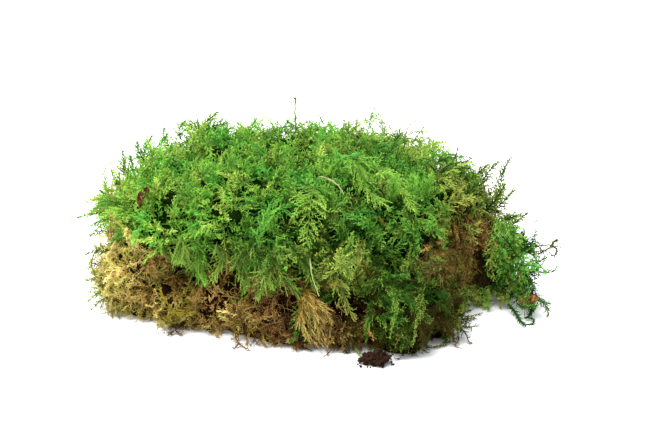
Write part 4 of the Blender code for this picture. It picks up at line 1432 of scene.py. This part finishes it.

# Curtains of fronds over a recess or a steep side, each frond from near the top line to near the foot line;
# light is painted light or painted shade on their colours
curtains = {
    # painted shade: these fronds take almost only their dark foot colours, for the dark, shaded recess
    "recess_fronds": {
        "node": "thatch_mat", "slot": "dark_moss", "dead": False, "many": 22, "span": (0.5, 1), "bulge": 2,
        "top": [(66, -12, 34), (74, -7, 36), (84, -6, 32)],
        "foot": [(65, -15, 1), (75, -12, 1), (85, -14, 1)], "tone": (0.93, 0.03), "light": -0.8,
        "grow": dict(branches=30, branchLength=9, leafGap=1.1, leafWidth=0.6, axis=0.7)},
    "recess_brow_fronds": {
        "node": "thatch_mat", "slot": "brown_moss", "dead": True, "many": 30, "span": (0.5, 0.9),
        "bulge": 2, "top": [(60, -22, 42), (67, -14, 42), (76, -9, 38)],
        "foot": [(62, -25, 24), (68, -18, 22), (76, -13, 24)], "tone": (0.36, 0.14), "light": -0.12,
        "grow": ochre},
    "tuft_link_fronds": {
        "node": "right_tuft", "slot": "dark_moss", "dead": False, "many": 15, "span": (0.35, 0.7),
        "bulge": 3, "top": [(76.5, -9, 40), (82, -11, 40), (90, -12, 36)],
        "foot": [(79, -15, 8), (84, -18, 6), (92, -20, 5)], "tone": (0.52, 0.14), "light": 0.14,
        "grow": dict(branches=26, branchLength=6.5, leafGap=0.75, leafWidth=0.55, axis=0.55, leafAngle=36,
        curl=0.6)},
    "fringe_fronds": {
        "node": "thatch_mat", "slot": "dark_moss", "dead": False, "many": 34, "span": (0.6, 1),
        "bulge": 2.5, "top": [(58, -25, 15), (69, -15, 9), (78, -14, 9), (86, -16, 14)],
        "foot": [(62, -31, 1), (71, -20, 1), (79, -20, 1), (90, -26, 1)], "tone": (0.58, 0.14),
        "light": 0.12, "grow": dict(branches=24, branchLength=6, leafGap=0.8, leafWidth=0.5, curl=0.5)},
    "ochre_side_fronds": {
        "node": "thatch_mat", "slot": "dark_moss", "dead": False, "many": 26, "span": (0.3, 0.6),
        "bulge": 1.5, "top": [(52, -49, 34), (62, -34, 33), (66, -27, 40)],
        "foot": [(56, -52, 23), (63, -38, 13), (68, -28, 12)], "tone": (0.9, 0.06), "light": -0.08,
        "grow": dict(ochre, branches=36)},
}


def onPolyline(points, share):
    table = np.array(points)
    places = np.linspace(0, 1, len(table))
    return np.stack([np.interp(share, places, table[:, axis]) for axis in range(3)], axis=-1)


def hangCurtains(table):
    rng = np.random.default_rng(seeds["curtains"])
    stations = 8
    for name, look in table.items():
        many = look["many"]
        place = (np.arange(many) + rng.random(many)) / many
        high = onPolyline(look["top"], place)
        low = onPolyline(look["foot"], np.clip(place + rng.normal(0, 0.08, many), 0, 1))
        span = rng.uniform(*look["span"], many)
        first = rng.random(many) * (1 - span)
        share = (first[:, None] + span[:, None] * np.linspace(0, 1, stations))[..., None]
        out = np.array([0.25, -1, 0.1]) * look["bulge"]
        spines = high[:, None] * (1 - share) + low[:, None] * share + np.sin(math.pi * share) * out
        spines = wandering(spines, rng, 0.8)
        overGround(spines, 0.5)
        ups = unit(np.array(front) + rng.normal(0, 0.35, (many, 1, 3)))
        tones = np.clip(rng.normal(look["tone"][0], look["tone"][1], many), 0.05, 0.95)
        lights = rng.normal(look["light"], 0.08, many)
        growth = newGrowth()
        growFronds(growth, spines, np.broadcast_to(ups, spines.shape), tones, rng, lights, **look["grow"])
        leaves = brownLeaves if look["dead"] else greenLeaves
        standFor(meshObject(name, growth, leaves), look["slot"], look["node"])


hangCurtains(curtains)

# Short fronds splayed on the ground all round the foot of the clump
footFringe = {
    "seed": 57,
    "many": 260,
    "from": (2, 9),  # how high up the side they leave it
    "out": (-3, 1.6),
    "buried": 4,
    "tuftEdge": (74, 14),   # none grow right of this and in front of it, under the open tuft
    "lobeEdge": (50, -34),  # nor here, where the lobe curves in
    "grow": dict(full=9, branches=14, branchLength=3.6, angles=(56, 24), leafGap=0.95, leafLength=1.1,
                 leafWidth=0.34, axis=0.34, stem=0.4, curl=0.9, hook=(1.8, 0.9), lift=(0.1, 0.4),
                 heights=(0.02, 0.2, 0.32, 0.24)),
}


def growFootFringe(look):
    rng = np.random.default_rng(look["seed"])
    stations = 6
    share = np.linspace(0, 1, stations)[:, None]
    lines = []
    edges = (look["tuftEdge"], look["lobeEdge"])
    for i in range(look["many"]):
        turn = (i + rng.random()) / look["many"] * 2 * math.pi
        away = Vector((math.cos(turn), math.sin(turn), 0))
        high = rng.uniform(*look["from"])
        hit, normal, _, _ = skin.ray_cast(Vector((clumpMiddle.x, clumpMiddle.y, high)) + away * 200, -away)
        bend, reach = rng.normal(0, 4.5), rng.uniform(*look["out"])
        if hit is None or any(hit.x > x and hit.y < y for x, y in edges):
            continue
        out = np.array(Vector((normal.x, normal.y, 0)).normalized())
        line = np.array(hit) + out * (share * (reach + look["buried"]) - look["buried"])
        line += np.array((-out[1], out[0], 0)) * bend * share ** 2
        line[:, 2] = ground + 0.6 + high * (1 - share[:, 0]) ** 1.4
        lines.append(line)
    lines = np.array(lines)
    ups = unit(np.array((0, 0, 1)) + rng.normal(0, 0.4, (len(lines), 1, 3)))
    ups = np.broadcast_to(ups, lines.shape)
    middles = lines[:, stations // 2]
    green = (middles[:, 0] > thatch["oliveFrom"]) & (middles[:, 1] < thatch["oliveTo"])
    lights = np.array([paintedLightAt(place) for place in middles]) + rng.normal(0, 0.12, len(lines))
    for name, mine, tones, leaves, slot in (
            ("foot_fringe_dead", ~green, brownTones(*thatch["tones"]), brownLeaves, "brown_moss"),
            ("foot_fringe_olive", green, greenTones(thatch["oliveTone"], 0.2), greenLeaves, "dark_moss")):
        growth = newGrowth()
        growFronds(growth, lines[mine], ups[mine], tones(middles[mine], rng), rng, lights[mine],
                   **look["grow"])
        standFor(meshObject(name, growth, leaves), slot, "thatch_mat")


growFootFringe(footFringe)


# Bare stems, twigs and rootlets
wires = {
    # node: slot, thickness, taper, tone, scale leaves or side fibres, routes
    "pale_stem": ("stem", 0.6, 0.6, 0.66, 14, [
        [(0.3, -63.1, 38), (0.7, -69.1, 35.5), (1.9, -69.9, 30.5), (3.9, -70.5, 24.8)]]),
    "lying_stem": ("stem", 0.45, 0.6, 0.68, 30, [
        [(2.9, -36.1, 62), (4.5, -41.1, 65.6), (8.6, -45, 65.3), (12, -47.7, 63.4), (13.9, -49.3, 60.8)]]),
    "spore_stalk": ("stem", 0.8, 0.9, 0.86, 26, [
        [(-7.4, 56.9, 60), (-7.9, 57.9, 68.8), (-7.4, 57.9, 74.2)],
        [(-7.2, 57.9, 73.6), (-7.6, 57.9, 74.2), (-8.2, 57.9, 74.6)]]),
    "bare_stem_near": ("stem", 0.6, 0.6, 0.92, 20, [
        [(41.4, 26.9, 56), (43, 27.9, 66.4), (46.8, 27.9, 71.4), (49.3, 27.9, 71.1)]]),
    "bare_stem_far": ("stem", 0.6, 0.6, 0.9, 18, [
        [(43.4, 30.9, 56), (49.3, 31.9, 65.1), (52.4, 31.9, 68.7)]]),
    "dark_twig": ("stem", 0.75, 0.5, 0.03, 24, [
        [(53.9, 7.9, 48), (59.9, 6.9, 56.3), (66.4, 5.9, 58), (71.1, 5.9, 60.4)],
        [(61.4, 6.7, 56.9), (63.5, 8.1, 60.4), (64.5, 8.9, 63.9)],
        [(63.4, 6.4, 57.2), (66.8, 4.9, 55.9), (70.4, 3.9, 56.2)]]),
    "crumb_stem": ("green_moss", 1, 0.6, 0.95, 20, [
        [(16.7, -58.1, 3.4), (18.5, -68.5, 2), (20.1, -76.1, 1.6), (23.3, -80.1, 2.2)]]),
    "root_twig": ("rootlet", 0.7, 0.5, 0.14, 20, [
        [(10.3, -62.1, 3.4), (8.6, -70, 1.2), (5.4, -76.2, 0.8)]]),
    "loose_twig": ("rootlet", 0.6, 0.5, 0.12, 24, [
        [(-30.5, -58.1, 2), (-28.4, -63.1, 1.1), (-23.6, -69.6, 0.8)],
        [(-28.7, -62.5, 1.1), (-30.7, -67.5, 0.8)]]),
    "root_tuft": ("rootlet", 0.6, 0.5, 0.1, 30, [
        [(-53.2, -38.1, 2.4), (-56.4, -49.7, 1.2), (-63.7, -50.6, 0.8)],
        [(-56, -49.1, 1.3), (-52.8, -53, 0.8)],
        [(-56.6, -49.7, 1.2), (-58.6, -53.5, 0.8)]]),
    "hooked_rootlet": ("rootlet", 0.65, 0.5, 0.08, 14, [
        [(60.7, -54.1, 2.6), (60.8, -60.1, 1.4), (59.1, -64.5, 0.8), (61.9, -66.9, 0.8)]]),
}


fineGrowth = {
    # how far it leans along the stem and off it, its length, bend and thickness
    "scale leaves": (1, 0.55, (0.9, 1.7), 0.15, 0.42),
    "hair roots": (0.3, 1, (1.2, 3.6), 0.45, 0.26),
}


def drawWires(table):
    rng = np.random.default_rng(seeds["wires"])
    stations = 18
    marks = np.arange(stations)
    for node, (slot, thick, taper, tone, small, routes) in table.items():
        growth = newGrowth()
        kind = "hair roots" if slot == "rootlet" else "scale leaves"
        ahead, aside, length, bending, fine = fineGrowth[kind]
        for route in routes:
            line = smoothLine(route, stations)
            line[1:-1] += rng.normal(0, 0.13 * thick, (stations - 2, 3))
            ups = np.broadcast_to(unit(np.array([0.2, -0.6, 0.8])), line[None].shape)
            light = 0.25 + 0.5 * np.linspace(0, 1, stations) + rng.normal(0, 0.08, stations)
            light = np.clip(light, 0.02, 0.98)
            addTubes(growth, line[None], ups, np.array([tone]), light[None], thick, taper, 7)
            spot = rng.uniform(0.08, 0.98, small) * (stations - 1)
            root = np.stack([np.interp(spot, marks, line[:, axis]) for axis in range(3)], axis=1)
            slopes = [np.interp(spot, marks, np.gradient(line[:, axis])) for axis in range(3)]
            way = unit(np.stack(slopes, axis=1))
            aim = unit(way * ahead + unit(rng.normal(0, 1, (small, 3))) * aside)
            long = rng.uniform(*length, small)
            steps = np.linspace(0, 1, 5)[None, :, None]
            bend = rng.normal(0, bending, (small, 1, 3))
            hair = root[:, None] + long[:, None, None] * (steps * aim[:, None] + steps ** 2 * bend)
            overGround(hair, 0.15)
            spread = np.clip(tone + rng.normal(0, 0.06, small), 0.02, 0.98)
            tall = np.broadcast_to(np.linspace(0.35, 0.95, 5)[None], (small, 5))
            flat = np.broadcast_to(unit(rng.normal(0, 1, (small, 1, 3))), hair.shape)
            addTubes(growth, hair, flat, spread, tall, fine, 0.25, 3)
        standFor(meshObject(node + "_wire", growth, bareStems, True), slot, node)


drawWires(wires)

# Tangles of thin wiry rootlets that lie over the fronds
tangles = {
    "seed": 65,
    "thickness": 0.34,
    "length": (6, 11),
    # x, y, z, reach, how many, tone
    "spots": [
        (46, -53, 30, 4, 22, 0.17), (50, -50, 27, 3, 10, 0.22), (57, -40, 30, 4, 8, 0.34),
        (2, -70, 7, 5, 24, 0.06), (12, -70, 11, 4, 16, 0.14), (-14, -66, 12, 9, 26, 0.3),
        (-45, -46, 18, 9, 24, 0.34), (-28, -58, 14, 8, 22, 0.36), (60, -36, 22, 6, 16, 0.24),
    ],
}


def drawTangles(look):
    rng = np.random.default_rng(look["seed"])
    growth = newGrowth()
    stations = 9
    for x, y, z, reach, many, tone in look["spots"]:
        lines = []
        for _ in range(many):
            place, up, _, _ = skin.find_nearest(Vector((x, y, z)) + Vector(rng.normal(0, 0.6 * reach, 3)))
            way = up.cross(Vector(rng.normal(0, 1, 3))).normalized()
            step = rng.uniform(*look["length"]) / stations
            turn = rng.normal(0, 0.35)
            high = rng.uniform(0.2, 1.8)
            line = []
            for i in range(stations):
                line.append(place + up * (high + relief(place) - 3 * (2 * i / (stations - 1) - 1) ** 4))
                way = inSkin(turned(way, up, turn), up).normalized()
                turn += rng.normal(0, 0.12)
                place, normal, _, _ = skin.find_nearest(place + way * step)
                up = (up + normal).normalized()
            lines.append(line)
        lines = np.array(lines)
        flat = np.broadcast_to(unit(rng.normal(0, 1, (many, 1, 3))), lines.shape)
        tall = np.broadcast_to(np.linspace(0.3, 0.9, stations)[None], (many, stations))
        tones = np.clip(tone + rng.normal(0, 0.06, many), 0.02, 0.98)
        addTubes(growth, lines, flat, tones, tall, look["thickness"], 0.5, 3)
    standFor(meshObject("wiry_tangles", growth, bareStems, True), "rootlet", "moss_cushion", "thatch_mat")


drawTangles(tangles)


# The crumb of soil and the bit of bark: torn, crumbling lumps
def roughBit(node, material, slot, voxel, rough, size):
    points, faces = largestPart(*remeshed(*nodeMesh(node), voxel))
    normals = normalsOf(points, faces)
    for i, (place, normal) in enumerate(zip(points, normals)):
        spot = Vector(place) / size
        high = noise.noise(spot) + 0.6 * noise.noise(spot * 2.3) + 0.35 * noise.noise(spot * 5.1)
        points[i] = place + normal * rough * (high - 0.25)
    overGround(points)
    standFor(plainObject(node + "_rough", points, faces.tolist(), material), slot, node)


roughBit("soil_crumb", crumbledSoil, "soil", 0.4, 1.7, 1.4)
roughBit("bark_bit", flakedBark, "bark", 0.35, 1.1, 1.1)


# Grains that broke off the crumb: on it, round its foot and along its stem
grains = {
    "seed": 71,
    "many": 70,
    "size": (0.25, 0.8),
    "reach": (7.6, 4.8),
    "middle": (25.8, -81.4),
}


def scatterGrains(look):
    rng = np.random.default_rng(look["seed"])
    crumb = nodeTree("soil_crumb")
    made = bmesh.new()
    for _ in range(look["many"]):
        around = rng.uniform(0, fullTurn)
        out = math.sqrt(rng.uniform(0.2, 1))
        x = look["middle"][0] + look["reach"][0] * out * math.cos(around)
        y = look["middle"][1] + look["reach"][1] * out * math.sin(around)
        size = rng.uniform(*look["size"])
        hit = crumb.ray_cast(Vector((x, y, 20)), Vector((0, 0, -1)))[0]
        high = max(ground + 0.5 * size, hit.z if hit else 0)
        lump = bmesh.ops.create_icosphere(made, subdivisions=1, radius=size)["verts"]
        squash = Vector(rng.uniform(0.6, 1.1, 3))
        for vert in lump:
            spot = vert.co * squash
            spot *= 1 + 0.7 * noise.noise(vert.co / size * 1.3 + Vector((x, y, 0)))
            spot += Vector((x, y, high))
            spot.z = max(spot.z, ground)
            vert.co = spot / perMetre
    mesh = bpy.data.meshes.new("soil_grains")
    made.to_mesh(mesh)
    made.free()
    mesh.materials.append(crumbledSoil)
    standFor(linked("soil_grains", mesh), "soil", "soil_crumb")


scatterGrains(grains)


# The withered leaf scrap: a thin curled sheet with a folded midrib
leafScrap = {
    "spine": [(-67.2, -28.6, 56.6), (-69.6, -31, 54.2), (-71, -32.6, 50.2)],
    "flat": (-0.5, -0.6, 0.6),
    "width": 3.4,
    "curl": 1.6,
    "thick": 0.18,
}


def curlLeafScrap(look):
    rows, columns = 28, 15
    line = smoothLine(look["spine"], rows)
    forward = unit(np.gradient(line, axis=0))
    across, over = sideways(forward, np.broadcast_to(unit(np.array(look["flat"])), line.shape))
    points = []
    for i in range(rows):
        t = i / (rows - 1)
        half = 0.5 * look["width"] * math.sin(math.pi * min(1, 0.06 + 0.94 * t)) ** 0.7 + 0.12
        for j in range(columns):
            s = 2 * j / (columns - 1) - 1
            ragged = 1 + 0.14 * noise.noise(Vector((t * 9, s * 2, 1.7)))
            lift = look["curl"] * (s * s - 0.3) + 0.35 * noise.noise(Vector((t * 4, s * 3, 4.2)))
            lift -= 0.25 * math.exp(-s * s * 60)  # the midrib
            points.append(line[i] + across[i] * half * s * ragged + over[i] * lift)
    faces = [(i * columns + j, i * columns + j + 1, (i + 1) * columns + j + 1, (i + 1) * columns + j)
             for i in range(rows - 1) for j in range(columns - 1)]
    obj = plainObject("leaf_scrap_sheet", np.array(points), faces, witheredLeaf, True)
    shell = obj.modifiers.new("paper_thickness", "SOLIDIFY")
    shell.thickness = look["thick"] / perMetre
    standFor(obj, "dry_leaf", "leaf_scrap")


curlLeafScrap(leafScrap)
print("single fronds, stems and bits are in place")


# The matted inside that shows between the fronds, its darkness partly painted shade, flat where the clump
# lies on the ground
inside = {
    "depth": 9.5,   # how far under the skin it lies
    "wadDepth": 5,  # the same under the wads
    "lumps": 2.6,
    "lumpSize": 7,
    "voxel": 3.5,
    "foot": 14.5,  # a face that looks down and is lower than this lies on the ground
}


def layMattedMass(look):
    wadTrees = [nodeTree(name) for name in wads]
    moved = []
    for place, normal in zip(bodyPoints, normalsOf(bodyPoints, bodyFaces)):
        onWad = any(tree.find_nearest(Vector(place), 1.5)[0] for tree in wadTrees)
        deep = look["wadDepth" if onWad else "depth"] + look["lumps"] * ripple(place, look["lumpSize"])
        moved.append(place - normal * (deep - 0.8 * relief(place)))
    points, faces = largestPart(*remeshed(np.array(moved), bodyFaces, look["voxel"]))
    low = (normalsOf(points, faces)[:, 2] < -0.5) & (points[:, 2] < look["foot"])
    points[low, 2] = ground
    overGround(points)
    mass = plainObject("matted_mass", points, faces.tolist(), mattedInsideAndShade, True)
    standFor(mass, "brown_moss", "moss_cushion", "thatch_mat")


layMattedMass(inside)

# The floor, 8 metres across
corners = np.array([(-4, -4, 0), (4, -4, 0), (4, 4, 0), (-4, 4, 0)]) * perMetre
floor = plainObject("floor", corners, [(0, 1, 2, 3)], paperFloor)
